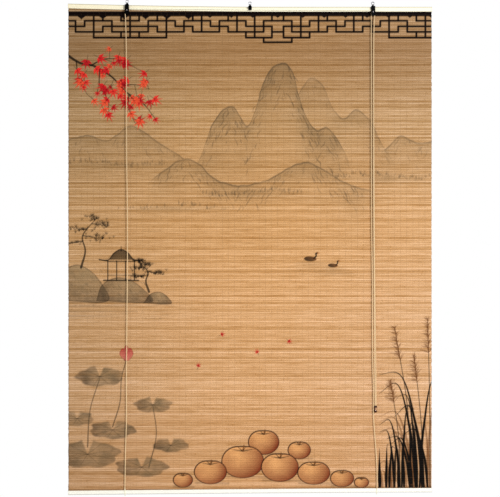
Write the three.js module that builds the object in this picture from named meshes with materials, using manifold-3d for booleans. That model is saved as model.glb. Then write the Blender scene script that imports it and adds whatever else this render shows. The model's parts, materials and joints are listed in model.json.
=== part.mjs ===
// A roll-up blind of woven bamboo slats with its headrail, 900 mm wide and 1200 mm long, in millimetres.
// +Z is up and the printed front faces -Y. The origin is the inside top of the middle ring, where it
// rests on its hook.
import * as THREE from "three";
import { mergeVertices } from "three/addons/utils/BufferGeometryUtils.js";
import Module from "manifold-3d";

const wasm = await Module();
wasm.setup();

// Driving dimensions
const GAP = 0.3; // between pieces that touch
const OVERCUT = 1; // of a cutting solid, past what it cuts
const BLIND_W = 900;
const BLIND_H = 1200; // from the headrail's top to the bottom rail's underside, at the right end
const HANGER_X = 304; // of the outer hangers, to each side of the middle one

// Rings that hang on the hooks
const RING_INSIDE = 5;
const RING_WIRE = 1.8;
const RING_PITCH = (RING_INSIDE + RING_WIRE) / 2;
const RING_SHANK = 3;
const RING_SEGMENTS = 24;
const WIRE_SIDES = 12;

// Headrail and bottom rail: battens that bow a little at their left ends
const RAIL_TOP = -11.8; // height of the headrail's level stretch
const RAIL_H = 11.6;
const RAIL_T = 5;
const RAIL_FRONT = -4;
const RAIL_BACK = RAIL_FRONT + RAIL_T;
const RAIL_ROUND = 1.2;
const RAIL_STATIONS = 24;
const HEADRAIL_BOW = { rise: 8.2, from: 62, power: 1.75 };
const BOTTOM_BOW = { rise: -6.8, from: 450, power: 1.4 };
const BOTTOM_RAIL_H = 10.4;
const BOTTOM_Z = RAIL_TOP - BLIND_H;

// Woven panel: slats side by side, joined by their warp
const SLAT_PITCH = 4.5;
const SLATS = 266;
const SLAT_GROOVE_W = 0.6;
const SLAT_GROOVE_D = 0.5;
const PANEL_T = 2;
const PANEL_TOP = RAIL_TOP - 1.5;
const PANEL_FRONT = RAIL_BACK + GAP;
const PANEL_BACK = PANEL_FRONT + PANEL_T;

// Clips of bent sheet that straddle the headrail and hold the rings
const CLIP_T = 1;
const CLIP_CLEAR = 0.4; // above the headrail
const CLIP_TOP = CLIP_CLEAR + CLIP_T;
const NECK = { height: 4.3, taper: 1.2, top: 4.8, bottom: 5.6 };
const MIDDLE_CLIP = { half: 4.3, front: 9, back: 9, corner: 1.8 };
const OUTER_CLIP = { shoulder: 5.1, waist: 4.8, waistZ: -3, belly: 5.3, front: 23, back: 12, corner: 1.5, foot: 3.2 };

// Cords and the wheels that they run over
const CORD_D = 2;
const CORD_R = CORD_D / 2;
const CORD_SIDES = 8;
const WHEEL_DROP = 13.4; // from the headrail's top to the wheel's axis
const WHEEL_TURN = 4.1; // radius of the cord's middle on the wheel
const WHEEL_FLANGE_R = 4.9;
const WHEEL_FLANGE_T = 0.5;
const WHEEL_W = 2 * WHEEL_FLANGE_T + 2 * CORD_D + 3 * GAP;
const ARC_STEP = 15; // degrees between the points of a cord's bend
const RIVET_R = 1;
const RIVET_HEAD_R = 1.8;
const RIVET_HEAD_H = 1;
const TURNED_SIDES = 24;

// Depths of the clip's three legs and of what lies between them
const REAR_CHEEK = { front: RAIL_FRONT - GAP - CLIP_T, back: RAIL_FRONT - GAP };
const WHEEL_BACK = REAR_CHEEK.front - GAP;
const WHEEL_FRONT = WHEEL_BACK - WHEEL_W;
const FRONT_CHEEK = { front: WHEEL_FRONT - GAP - CLIP_T, back: WHEEL_FRONT - GAP };
const BACK_LEG = { front: PANEL_BACK + GAP, back: PANEL_BACK + GAP + CLIP_T };
const REAR_LANE = WHEEL_BACK - WHEEL_FLANGE_T - GAP - CORD_R;
const FRONT_LANE = REAR_LANE - CORD_D - GAP;
const BACK_LANE = PANEL_BACK + GAP + CORD_R;
const RAIL_LANE = RAIL_FRONT - GAP - CORD_R;

// Toggle that the two pull cords end in
const TOGGLE = { x: 310, top: -997, height: 16.8, end: 2.9, belly: 4.1, waist: 3.5 };
const TOGGLE_LANE = (REAR_LANE + FRONT_LANE) / 2;

// Looks, for a plain view of the model
const cream = new THREE.MeshStandardMaterial({ color: 0xf3ead0, roughness: 0.6 });
const bamboo = new THREE.MeshStandardMaterial({ color: 0xc79d66, roughness: 0.7 });
const blackSteel = new THREE.MeshStandardMaterial({ color: 0x101012, roughness: 0.35, metalness: 0.3 });
const zinc = new THREE.MeshStandardMaterial({ color: 0xb4b6bb, roughness: 0.3, metalness: 1 });
const cotton = new THREE.MeshStandardMaterial({ color: 0xe6d9b4, roughness: 0.9 });
const darkWood = new THREE.MeshStandardMaterial({ color: 0x4a2210, roughness: 0.25 });

// Closed solids that are joined and cut
function solid(geometry) {
  const bare = geometry.clone();
  bare.deleteAttribute("normal");
  bare.deleteAttribute("uv");
  const merged = mergeVertices(bare, 1e-4);
  return new wasm.Manifold(
    new wasm.Mesh({
      numProp: 3,
      vertProperties: merged.attributes.position.array,
      triVerts: new Uint32Array(merged.index.array),
    }),
  );
}

function geometryOf(manifold) {
  const { vertProperties, triVerts } = manifold.getMesh();
  const geometry = new THREE.BufferGeometry();
  geometry.setAttribute("position", new THREE.BufferAttribute(vertProperties, 3));
  geometry.setIndex(new THREE.BufferAttribute(triVerts, 1));
  geometry.computeVertexNormals();
  return geometry;
}

function outlineOf(points) {
  return new THREE.Shape(points.map(([x, y]) => new THREE.Vector2(x, y)));
}

// A profile of (y, z) points, extruded along +X from x0 to x1
function prismX(shape, x0, x1) {
  const geometry = new THREE.ExtrudeGeometry(shape, { depth: x1 - x0, bevelEnabled: false });
  const turn = new THREE.Matrix4().makeBasis(
    new THREE.Vector3(0, 1, 0),
    new THREE.Vector3(0, 0, 1),
    new THREE.Vector3(1, 0, 0),
  );
  return geometry.applyMatrix4(turn).translate(x0, 0, 0);
}

// An outline of (x, z) points, extruded from depth y0 to depth y1, with its edges rounded by round
function prismY(shape, y0, y1, round = 0) {
  const geometry = new THREE.ExtrudeGeometry(shape, {
    depth: y1 - y0 - 2 * round,
    bevelEnabled: round > 0,
    bevelThickness: round,
    bevelSize: round,
    bevelOffset: -round,
    bevelSegments: 2,
  });
  return geometry.rotateX(Math.PI / 2).translate(0, y1 - round, 0);
}

// A profile of (radius, y) points, turned about the Y axis
function turned(points) {
  const profile = points.map(([r, y]) => new THREE.Vector2(r, y));
  return new THREE.LatheGeometry(profile, TURNED_SIDES);
}

// Rails
function bow(x, { rise, from, power }) {
  return x < from ? rise * ((from - x) / (from + BLIND_W / 2)) ** power : 0;
}

function headrailTop(x) {
  return RAIL_TOP + bow(x, HEADRAIL_BOW);
}

function bottomRailUnderside(x) {
  return BOTTOM_Z + bow(x, BOTTOM_BOW);
}

function railGeometry(underside, height) {
  const stations = Array.from(
    { length: RAIL_STATIONS + 1 },
    (_, i) => -BLIND_W / 2 + (i * BLIND_W) / RAIL_STATIONS,
  );
  const lower = stations.map((x) => [x, underside(x)]);
  const upper = stations.map((x) => [x, underside(x) + height]).reverse();
  return prismY(outlineOf([...lower, ...upper]), RAIL_FRONT, RAIL_BACK, RAIL_ROUND);
}

// The panel's section: each slat is a flat ridge on both faces, with a groove between it and the next
function panelGeometry() {
  const front = [];
  const back = [];
  for (let i = 0; i < SLATS; i++) {
    const top = PANEL_TOP - i * SLAT_PITCH;
    const bottom = top - SLAT_PITCH;
    front.push([PANEL_FRONT, top - SLAT_GROOVE_W / 2], [PANEL_FRONT, bottom + SLAT_GROOVE_W / 2]);
    back.push([PANEL_BACK, top - SLAT_GROOVE_W / 2], [PANEL_BACK, bottom + SLAT_GROOVE_W / 2]);
    if (i < SLATS - 1) {
      front.push([PANEL_FRONT + SLAT_GROOVE_D, bottom]);
      back.push([PANEL_BACK - SLAT_GROOVE_D, bottom]);
    }
  }
  return prismX(outlineOf([...front, ...back.reverse()]), -BLIND_W / 2, BLIND_W / 2);
}

// Height of a ring's centre above the headrail's top: the same for all three
const RING_HEIGHT = -headrailTop(0) - RING_INSIDE / 2;

// Rings: a closed eye in the plane of the blind, with a shank that sinks into the clip's neck
function eyeSolid(wireR, shankLength) {
  const ring = new THREE.TorusGeometry(RING_PITCH, wireR, WIRE_SIDES, RING_SEGMENTS);
  const shank = new THREE.CylinderGeometry(wireR, wireR, shankLength, WIRE_SIDES);
  ring.rotateX(Math.PI / 2).translate(0, 0, RING_HEIGHT);
  shank.rotateX(Math.PI / 2).translate(0, 0, RING_HEIGHT - RING_PITCH - shankLength / 2);
  return solid(ring).add(solid(shank));
}

// The clip's side view: a bridge over the rail with a front cheek, a rear cheek and a back leg
function clipProfile(frontDrop, backDrop) {
  return outlineOf([
    [FRONT_CHEEK.front, CLIP_TOP],
    [FRONT_CHEEK.front, -frontDrop],
    [FRONT_CHEEK.back, -frontDrop],
    [FRONT_CHEEK.back, CLIP_CLEAR],
    [REAR_CHEEK.front, CLIP_CLEAR],
    [REAR_CHEEK.front, -frontDrop],
    [REAR_CHEEK.back, -frontDrop],
    [REAR_CHEEK.back, CLIP_CLEAR],
    [BACK_LEG.front, CLIP_CLEAR],
    [BACK_LEG.front, -backDrop],
    [BACK_LEG.back, -backDrop],
    [BACK_LEG.back, CLIP_TOP],
  ]);
}

function middleClipOutline() {
  const { half, front, corner } = MIDDLE_CLIP;
  const shape = new THREE.Shape();
  shape.moveTo(-half, CLIP_TOP - corner);
  shape.lineTo(-half, -front + corner);
  shape.quadraticCurveTo(-half, -front, -half + corner, -front);
  shape.lineTo(half - corner, -front);
  shape.quadraticCurveTo(half, -front, half, -front + corner);
  shape.lineTo(half, CLIP_TOP - corner);
  shape.quadraticCurveTo(half, CLIP_TOP, half - corner, CLIP_TOP);
  shape.lineTo(-half + corner, CLIP_TOP);
  shape.quadraticCurveTo(-half, CLIP_TOP, -half, CLIP_TOP - corner);
  return outlineOf(shape.getPoints(4).slice(0, -1).map(({ x, y }) => [x, y]));
}

function outerClipOutline() {
  const { shoulder, waist, waistZ, belly, front, corner, foot } = OUTER_CLIP;
  const shape = new THREE.Shape();
  shape.moveTo(-shoulder, CLIP_TOP - corner);
  shape.lineTo(-waist, waistZ);
  shape.lineTo(-belly, -WHEEL_DROP);
  shape.lineTo(-belly, -front + foot);
  shape.quadraticCurveTo(-belly, -front, -belly + foot, -front);
  shape.lineTo(belly - foot, -front);
  shape.quadraticCurveTo(belly, -front, belly, -front + foot);
  shape.lineTo(belly, -WHEEL_DROP);
  shape.lineTo(waist, waistZ);
  shape.lineTo(shoulder, CLIP_TOP - corner);
  shape.quadraticCurveTo(shoulder, CLIP_TOP, shoulder - corner, CLIP_TOP);
  shape.lineTo(-shoulder + corner, CLIP_TOP);
  shape.quadraticCurveTo(-shoulder, CLIP_TOP, -shoulder, CLIP_TOP - corner);
  return outlineOf(shape.getPoints(6).slice(0, -1).map(({ x, y }) => [x, y]));
}

// The stub on top of the clip that the ring's shank is held in
function neckGeometry() {
  const stub = turned([
    [0, -CLIP_T / 2],
    [NECK.bottom / 2, -CLIP_T / 2],
    [NECK.bottom / 2, 0],
    [NECK.top / 2, NECK.taper],
    [NECK.top / 2, NECK.height],
    [0, NECK.height],
  ]);
  return stub.rotateX(Math.PI / 2).translate(0, 0, CLIP_TOP);
}

// A clip with its origin on the rail's top edge
function clipGeometry(profile, outline, hasWheel) {
  const halfWidth = OUTER_CLIP.belly + OVERCUT;
  const side = prismX(profile, -halfWidth, halfWidth);
  const front = prismY(outline, FRONT_CHEEK.front - OVERCUT, BACK_LEG.back + OVERCUT);
  const eyeRoom = eyeSolid(RING_WIRE / 2 + GAP, RING_SHANK + GAP);
  let clip = solid(side).intersect(solid(front)).add(solid(neckGeometry())).subtract(eyeRoom);
  if (hasWheel) {
    const boreLength = REAR_CHEEK.back - FRONT_CHEEK.front + 2 * OVERCUT;
    const boreR = RIVET_R + GAP;
    const bore = new THREE.CylinderGeometry(boreR, boreR, boreLength, TURNED_SIDES);
    bore.translate(0, (REAR_CHEEK.back + FRONT_CHEEK.front) / 2, -WHEEL_DROP);
    clip = clip.subtract(solid(bore));
  }
  return geometryOf(clip);
}

// Wheels and the rivets that they turn on
function wheelGeometry() {
  const groove = WHEEL_TURN - CORD_R - GAP;
  const bore = RIVET_R + GAP;
  return turned([
    [bore, WHEEL_FRONT],
    [WHEEL_FLANGE_R, WHEEL_FRONT],
    [WHEEL_FLANGE_R, WHEEL_FRONT + WHEEL_FLANGE_T],
    [groove, WHEEL_FRONT + WHEEL_FLANGE_T],
    [groove, WHEEL_BACK - WHEEL_FLANGE_T],
    [WHEEL_FLANGE_R, WHEEL_BACK - WHEEL_FLANGE_T],
    [WHEEL_FLANGE_R, WHEEL_BACK],
    [bore, WHEEL_BACK],
    [bore, WHEEL_FRONT],
  ]);
}

function rivetGeometry() {
  const headBack = FRONT_CHEEK.front - GAP;
  const dome = [22.5, 45, 67.5].map(THREE.MathUtils.degToRad).map((angle) => [
    RIVET_HEAD_R * Math.sin(angle),
    headBack - RIVET_HEAD_H * Math.cos(angle),
  ]);
  return turned([
    [0, headBack - RIVET_HEAD_H],
    ...dome,
    [RIVET_HEAD_R, headBack],
    [RIVET_R, headBack],
    [RIVET_R, REAR_CHEEK.back],
    [0, REAR_CHEEK.back],
  ]);
}

// Cords: each route is a list of points, and the tube has one ring at each of them
class Route extends THREE.CatmullRomCurve3 {
  getUtoTmapping(u) {
    return u;
  }
}

function cordGeometry(points) {
  const section = new THREE.Shape();
  for (let i = 0; i < CORD_SIDES; i++) {
    const angle = (i / CORD_SIDES) * 2 * Math.PI;
    section[i ? "lineTo" : "moveTo"](CORD_R * Math.cos(angle), CORD_R * Math.sin(angle));
  }
  const route = new Route(points.map(({ x, y, z }) => new THREE.Vector3(x, y, z)));
  return new THREE.ExtrudeGeometry(section, { extrudePath: route, steps: points.length - 1 });
}

// Cosines and sines of the angles of a bend, both ends included, in degrees
function arc(from, to) {
  const steps = Math.round(Math.abs(to - from) / ARC_STEP);
  return Array.from({ length: steps + 1 }, (_, i) => {
    const angle = THREE.MathUtils.degToRad(from + ((to - from) * i) / steps);
    return { cos: Math.cos(angle), sin: Math.sin(angle) };
  });
}

// Points round part of a wheel
function overWheel(wheel, lane, from, to) {
  return arc(from, to).map(({ cos, sin }) => ({
    x: wheel.x + WHEEL_TURN * cos,
    y: lane,
    z: wheel.z + WHEEL_TURN * sin,
  }));
}

// Points of the half turn under the bottom rail, from the back of the blind to its front
function underRail(x) {
  const middle = (BACK_LANE + RAIL_LANE) / 2;
  const radius = (BACK_LANE - RAIL_LANE) / 2;
  const top = bottomRailUnderside(x) + RAIL_ROUND;
  return arc(0, 180).map(({ cos, sin }) => ({ x, y: middle + radius * cos, z: top - radius * sin }));
}

function wheelPlace(x) {
  return { x, z: headrailTop(x) - WHEEL_DROP };
}

// The back run starts just under the clip's back leg
function cordStart(x) {
  return { x, y: BACK_LANE, z: headrailTop(x) - OUTER_CLIP.back - 2 * GAP };
}

const leftWheel = wheelPlace(-HANGER_X);
const rightWheel = wheelPlace(HANGER_X);
const pullEndX = CORD_R + GAP / 2;
const pullEndZ = TOGGLE.top + GAP;

// From the left clip down the back, under the rail, up the front, over both wheels and down to the toggle
const leftRoute = [
  cordStart(-305),
  { x: -306.5, y: BACK_LANE, z: -600 },
  ...underRail(-309.2),
  { x: -308.7, y: RAIL_LANE, z: -1177 },
  { x: -307.7, y: -5.4, z: -1115 },
  { x: -305.3, y: -5.7, z: -1030 },
  { x: -305.2, y: -6, z: -930 },
  { x: -304.3, y: -6.5, z: -820 },
  { x: -302.9, y: -7.1, z: -660 },
  { x: -302.7, y: -7.8, z: -520 },
  { x: -304.5, y: -8.5, z: -380 },
  { x: -304.9, y: -9.1, z: -220 },
  { x: -305.2, y: -9.4, z: -120 },
  { x: -306.6, y: -9.6, z: -60 },
  ...overWheel(leftWheel, FRONT_LANE, 180, 90),
  { x: 0, y: FRONT_LANE, z: (leftWheel.z + rightWheel.z) / 2 + WHEEL_TURN },
  ...overWheel(rightWheel, FRONT_LANE, 90, 0),
  { x: 306.2, y: -9.7, z: -58 },
  { x: 305.2, y: -9.6, z: -110 },
  { x: 305.1, y: -9.6, z: -300 },
  { x: 305.2, y: -9.4, z: -480 },
  { x: 306.2, y: -9.4, z: -640 },
  { x: 306.7, y: -9.3, z: -760 },
  { x: 307.6, y: -9.2, z: -880 },
  { x: 308.4, y: -9, z: -945 },
  { x: TOGGLE.x - pullEndX, y: TOGGLE_LANE, z: pullEndZ },
];

// The same on the right, over one wheel
const rightRoute = [
  cordStart(305),
  { x: 309, y: BACK_LANE, z: -600 },
  ...underRail(313.3),
  { x: 314.1, y: RAIL_LANE, z: -1180 },
  { x: 312.4, y: RAIL_LANE, z: -1125 },
  { x: 310, y: -5.4, z: -1090 },
  { x: 306.6, y: -5.5, z: -1045 },
  { x: 304.9, y: -5.5, z: -1015 },
  { x: 305, y: -5.6, z: -960 },
  { x: 303.2, y: -5.7, z: -892 },
  { x: 302.6, y: -5.9, z: -800 },
  { x: 302.5, y: -6.1, z: -680 },
  { x: 300.7, y: -6.3, z: -560 },
  { x: 300, y: -6.9, z: -220 },
  ...overWheel(rightWheel, REAR_LANE, 180, 0),
  { x: 306.6, y: REAR_LANE, z: -58 },
  { x: 305.9, y: -7.3, z: -110 },
  { x: 305.9, y: -7.3, z: -300 },
  { x: 306.7, y: -7.2, z: -480 },
  { x: 307.8, y: -7.2, z: -640 },
  { x: 309, y: -7.1, z: -760 },
  { x: 310.6, y: -7.1, z: -880 },
  { x: 311.2, y: -7.6, z: -945 },
  { x: TOGGLE.x + pullEndX, y: TOGGLE_LANE, z: pullEndZ },
];

// Toggle: a turned barrel with a drawn-in waist
function toggleGeometry() {
  const { top, height, end, belly, waist } = TOGGLE;
  const profile = [
    { down: 1, radius: 0 },
    { down: 1, radius: 0.7 * end },
    { down: 0.93, radius: end },
    { down: 0.78, radius: belly },
    { down: 0.62, radius: waist },
    { down: 0.36, radius: waist },
    { down: 0.2, radius: belly },
    { down: 0.06, radius: 1.1 * end },
    { down: 0, radius: end },
    { down: 0, radius: 0 },
  ];
  const barrel = turned(profile.map(({ down, radius }) => [radius, -down * height]));
  return barrel.rotateX(Math.PI / 2).translate(TOGGLE.x, TOGGLE_LANE, top);
}

const blind = new THREE.Group();

function addPiece(name, geometry, material, parent = blind) {
  const mesh = new THREE.Mesh(geometry, material);
  mesh.name = name;
  parent.add(mesh);
}

addPiece("headrail", railGeometry((x) => headrailTop(x) - RAIL_H, RAIL_H), cream);
addPiece("bottom_rail", railGeometry(bottomRailUnderside, BOTTOM_RAIL_H), cream);
addPiece("woven_panel", panelGeometry(), bamboo);

const middleProfile = clipProfile(MIDDLE_CLIP.front, MIDDLE_CLIP.back);
const outerProfile = clipProfile(OUTER_CLIP.front, OUTER_CLIP.back);
const hangers = [
  { side: "left", x: -HANGER_X, profile: outerProfile, outline: outerClipOutline(), hasWheel: true },
  { side: "middle", x: 0, profile: middleProfile, outline: middleClipOutline(), hasWheel: false },
  { side: "right", x: HANGER_X, profile: outerProfile, outline: outerClipOutline(), hasWheel: true },
];
for (const { side, x, profile, outline, hasWheel } of hangers) {
  const hanger = new THREE.Group();
  hanger.position.set(x, 0, headrailTop(x));
  addPiece("clip_" + side, clipGeometry(profile, outline, hasWheel), blackSteel, hanger);
  addPiece("eye_" + side, geometryOf(eyeSolid(RING_WIRE / 2, RING_SHANK)), zinc, hanger);
  if (hasWheel) {
    addPiece("wheel_" + side, wheelGeometry().translate(0, 0, -WHEEL_DROP), blackSteel, hanger);
    addPiece("rivet_" + side, rivetGeometry().translate(0, 0, -WHEEL_DROP), zinc, hanger);
  }
  blind.add(hanger);
}

addPiece("cord_left", cordGeometry(leftRoute), cotton);
addPiece("cord_right", cordGeometry(rightRoute), cotton);
addPiece("toggle", toggleGeometry(), darkWood);

export default blind;
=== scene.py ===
"""Bamboo roll-up blind with headrail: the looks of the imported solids, for Blender 4.5.

The blind hangs in the X-Z plane and its front faces -Y. Tables of sizes and places are in millimetres,
and MM turns them into the metres of the frame.
"""

from __future__ import annotations

import json
import logging
import math
from dataclasses import dataclass, field
from enum import Enum
from typing import Iterable, Sequence

import bpy
import numpy as np
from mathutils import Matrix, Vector

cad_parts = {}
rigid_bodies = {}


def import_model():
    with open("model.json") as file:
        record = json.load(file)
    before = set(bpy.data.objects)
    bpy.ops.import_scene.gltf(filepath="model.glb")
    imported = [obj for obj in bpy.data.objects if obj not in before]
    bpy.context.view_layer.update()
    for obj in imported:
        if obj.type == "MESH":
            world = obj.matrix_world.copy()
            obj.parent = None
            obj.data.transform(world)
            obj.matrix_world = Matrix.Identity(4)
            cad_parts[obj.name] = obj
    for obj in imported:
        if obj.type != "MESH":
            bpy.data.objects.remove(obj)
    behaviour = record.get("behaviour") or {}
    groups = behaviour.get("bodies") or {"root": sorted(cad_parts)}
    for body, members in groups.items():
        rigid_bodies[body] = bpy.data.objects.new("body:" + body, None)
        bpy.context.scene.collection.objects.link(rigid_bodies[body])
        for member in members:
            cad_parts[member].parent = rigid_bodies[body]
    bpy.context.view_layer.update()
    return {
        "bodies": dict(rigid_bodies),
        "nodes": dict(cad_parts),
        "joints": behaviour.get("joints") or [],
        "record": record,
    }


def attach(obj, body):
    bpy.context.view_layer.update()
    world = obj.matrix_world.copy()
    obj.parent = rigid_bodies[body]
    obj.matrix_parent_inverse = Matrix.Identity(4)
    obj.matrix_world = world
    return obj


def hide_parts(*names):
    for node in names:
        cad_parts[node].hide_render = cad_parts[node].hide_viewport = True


MM = 0.001
LIT = 1.4  # how bright the lights make a white surface, which paint() takes off a colour
log = logging.getLogger("bamboo_blind")

Colour = tuple[float, float, float, float]  # red, green and blue in linear light, and 1
Shade = tuple[float, float, float]  # red, green and blue of 255, as seen
Point = tuple[float, float]  # X and Z
Place = tuple[float, float, float]
Line = Sequence[Point] | np.ndarray
Part = tuple[slice, slice]  # rows and columns of the print
WHITE: Colour = (1.0, 1.0, 1.0, 1.0)


def linear(value: float) -> float:
    """One channel from the screen's scale of 0 to 255 to linear light."""
    share = value / 255
    return share / 12.92 if share <= 0.04045 else ((share + 0.055) / 1.055) ** 2.4


def paint(red: float, green: float, blue: float) -> Colour:
    """The surface colour that looks like red, green, blue of 255 under the studio lights."""
    return (linear(red) / LIT, linear(green) / LIT, linear(blue) / LIT, 1.0)


# ---------------------------------------------------------------- node trees


class Socket:
    """An output of a node, with the arithmetic of a plain number."""

    def __init__(self, tree: Tree, output: bpy.types.NodeSocket) -> None:
        """Wraps one output of a tree."""
        self.tree = tree
        self.output = output

    def maths(self, operation: str, *values: Value) -> Socket:
        """A Math node on these values."""
        return self.tree.out("ShaderNodeMath", {"operation": operation}, dict(enumerate(values)))

    def __add__(self, other: Value) -> Socket:
        """self + other."""
        return self.maths("ADD", self, other)

    def __radd__(self, other: Value) -> Socket:
        """other + self."""
        return self.maths("ADD", other, self)

    def __sub__(self, other: Value) -> Socket:
        """self - other."""
        return self.maths("SUBTRACT", self, other)

    def __rsub__(self, other: Value) -> Socket:
        """other - self."""
        return self.maths("SUBTRACT", other, self)

    def __mul__(self, other: Value) -> Socket:
        """self times other."""
        return self.maths("MULTIPLY", self, other)

    def __rmul__(self, other: Value) -> Socket:
        """other times self."""
        return self.maths("MULTIPLY", other, self)

    def __truediv__(self, other: Value) -> Socket:
        """self over other."""
        return self.maths("DIVIDE", self, other)

    def __pow__(self, other: Value) -> Socket:
        """self to the power of other."""
        return self.maths("POWER", self, other)

    def __mod__(self, other: Value) -> Socket:
        """What is left of self over other, never below 0."""
        return self.maths("FLOORED_MODULO", self, other)

    def size(self) -> Socket:
        """self without its sign."""
        return self.maths("ABSOLUTE", self)

    def sine(self) -> Socket:
        """The sine of self."""
        return self.maths("SINE", self)

    def at_least(self, other: Value) -> Socket:
        """The larger of self and other."""
        return self.maths("MAXIMUM", self, other)

    def below(self, other: Value) -> Socket:
        """1 where self is below other, else 0."""
        return self.maths("LESS_THAN", self, other)

    def rise(self, start: float, end: float) -> Socket:
        """0 before start, 1 after end, and a smooth step between."""
        settings = {"interpolation_type": "SMOOTHSTEP", "clamp": True}
        return self.tree.out("ShaderNodeMapRange", settings, {0: self, 1: start, 2: end, 3: 0.0, 4: 1.0})


Value = Socket | float | int


class Tree:
    """A node tree to which one method adds every node."""

    def __init__(self, nodes: bpy.types.NodeTree) -> None:
        """Empties the tree that it is given."""
        self.data = nodes
        self.data.nodes.clear()

    def node(self, kind: str, settings: dict | None = None, inputs: dict | None = None) -> bpy.types.Node:
        """Adds a node.

        Args:
            kind: the node's type.
            settings: its properties, set before its sockets, and "stops" for a colour ramp.
            inputs: values or Sockets, by the input's index or name.

        Returns:
            The node.
        """
        node = self.data.nodes.new(kind)
        for name, value in (settings or {}).items():
            if name == "stops":
                self._stops(node.color_ramp, value)
            else:
                setattr(node, name, value)
        for key, value in (inputs or {}).items():
            if isinstance(value, Socket):
                self.data.links.new(value.output, node.inputs[key])
            else:
                node.inputs[key].default_value = value
        return node

    def out(
        self, kind: str, settings: dict | None = None, inputs: dict | None = None, output: int | str = 0
    ) -> Socket:
        """Adds a node and gives one of its outputs, by index or name."""
        return Socket(self, self.node(kind, settings, inputs).outputs[output])

    @staticmethod
    def _stops(ramp: bpy.types.ColorRamp, stops: Sequence[tuple[float, Colour]]) -> None:
        """Gives a colour ramp its stops.

        Args:
            ramp: the ramp, which has two already.
            stops: for each stop, its place from 0 to 1 and its colour.
        """
        while len(ramp.elements) < len(stops):
            ramp.elements.new(1.0)
        for element, (position, colour) in zip(ramp.elements, stops):
            element.position = position
            element.color = colour


class Shader(Tree):
    """The node tree of one material."""

    def __init__(self, name: str) -> None:
        """Makes the material, with an empty tree.

        Args:
            name: the material's name.
        """
        self.material = bpy.data.materials.new(name)
        self.material.use_nodes = True
        super().__init__(self.material.node_tree)

    def axes(self, vector: Socket | None = None) -> tuple[Socket, Socket, Socket]:
        """The three parts of a vector, or of the piece's own coordinates."""
        split = self.node("ShaderNodeSeparateXYZ", inputs={0: vector or self.place()})
        return tuple(Socket(self, split.outputs[i]) for i in range(3))

    def place(self) -> Socket:
        """The piece's own coordinates, in metres."""
        return self.out("ShaderNodeTexCoord", output="Object")

    def join(self, x: Value, y: Value, z: Value) -> Socket:
        """A vector of three values."""
        return self.out("ShaderNodeCombineXYZ", inputs={0: x, 1: y, 2: z})

    def noise(self, scale: Place, detail: float = 2.0, roughness: float = 0.5, of: Socket | None = None) -> Socket:
        """Noise from 0 to 1.

        Args:
            scale: grains to the metre along X, Y and Z.
            detail: octaves of finer grain.
            roughness: the strength of the finer grain.
            of: the vector that it lies on, or the piece's own coordinates.

        Returns:
            The noise's value.
        """
        stretched = self.out("ShaderNodeMapping", inputs={0: of or self.place(), "Scale": scale})
        inputs = {"Vector": stretched, "Scale": 1.0, "Detail": detail, "Roughness": roughness}
        return self.out("ShaderNodeTexNoise", None, inputs)

    def attribute(self, name: str, output: str = "Fac") -> Socket:
        """An attribute of the mesh."""
        return self.out("ShaderNodeAttribute", {"attribute_name": name}, output=output)

    def mix(self, factor: Value, first: Socket | Colour, second: Socket | Colour, blend: str = "MIX") -> Socket:
        """first and second mixed by factor."""
        settings = {"data_type": "RGBA", "blend_type": blend, "clamp_result": False}
        return self.out("ShaderNodeMix", settings, {0: factor, 6: first, 7: second}, 2)

    def scaled(self, colour: Socket, factor: Value) -> Socket:
        """A colour made lighter or darker by a factor."""
        return self.out("ShaderNodeVectorMath", {"operation": "SCALE"}, {0: colour, 3: factor})

    def vector(self, operation: str, first: Socket, second: Socket) -> Socket:
        """A Vector Math node on two colours or vectors."""
        return self.out("ShaderNodeVectorMath", {"operation": operation}, {0: first, 1: second})

    def printed(self, bare: Socket) -> Socket:
        """A bare colour under the mesh's attribute ink, which holds ink colour times its cover, and the cover."""
        uncovered = self.scaled(bare, 1 - self.attribute("ink", "Alpha"))
        return self.vector("ADD", uncovered, self.attribute("ink", "Color"))

    def ramp(self, position: Value, stops: Sequence[tuple[float, Colour]]) -> Socket:
        """A colour ramp."""
        return self.out("ShaderNodeValToRGB", {"stops": stops}, {0: position})

    def bump(self, height: Socket, distance: float, strength: float = 1.0) -> Socket:
        """A normal bent by height, whose full swing is distance metres."""
        return self.out("ShaderNodeBump", None, {"Height": height, "Distance": distance, "Strength": strength})

    def finish(self, **sockets: object) -> bpy.types.Material:
        """Ends the tree in a Principled shader.

        Args:
            **sockets: the shader's inputs, with _ for each space in their names.

        Returns:
            The material.
        """
        inputs = {name.replace("_", " "): value for name, value in sockets.items()}
        surface = self.out("ShaderNodeBsdfPrincipled", None, inputs)
        self.node("ShaderNodeOutputMaterial", None, {"Surface": surface})
        return self.material


# ---------------------------------------------------------------- finishes


@dataclass(frozen=True)
class Bow:
    """The line of a rail that leaves its level towards the left end of the blind."""

    rise: float  # how far off its level it is at the left end
    start: float  # where it begins to leave it
    power: float  # 1 for a straight slope, more for a bend that grows towards the end
    half: float = 450.0  # half its length

    def at(self, x: float) -> float:
        """How far the rail leaves its level at x."""
        return self.rise * ((self.start - x) / (self.start + self.half)) ** self.power if x < self.start else 0.0

    def shaded(self, x: Socket) -> Socket:
        """The same in a material, in metres."""
        share = ((self.start * MM - x) / ((self.start + self.half) * MM)).at_least(0.0)
        return share**self.power * (self.rise * MM)


HEADRAIL_BOW = Bow(8.2, 62.0, 1.75)
BOTTOM_RAIL_BOW = Bow(-6.8, 450.0, 1.4)
HEADRAIL_FOOT = -23.4  # the height of its underside where it is level
BOTTOM_RAIL_FOOT = -1211.8


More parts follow.
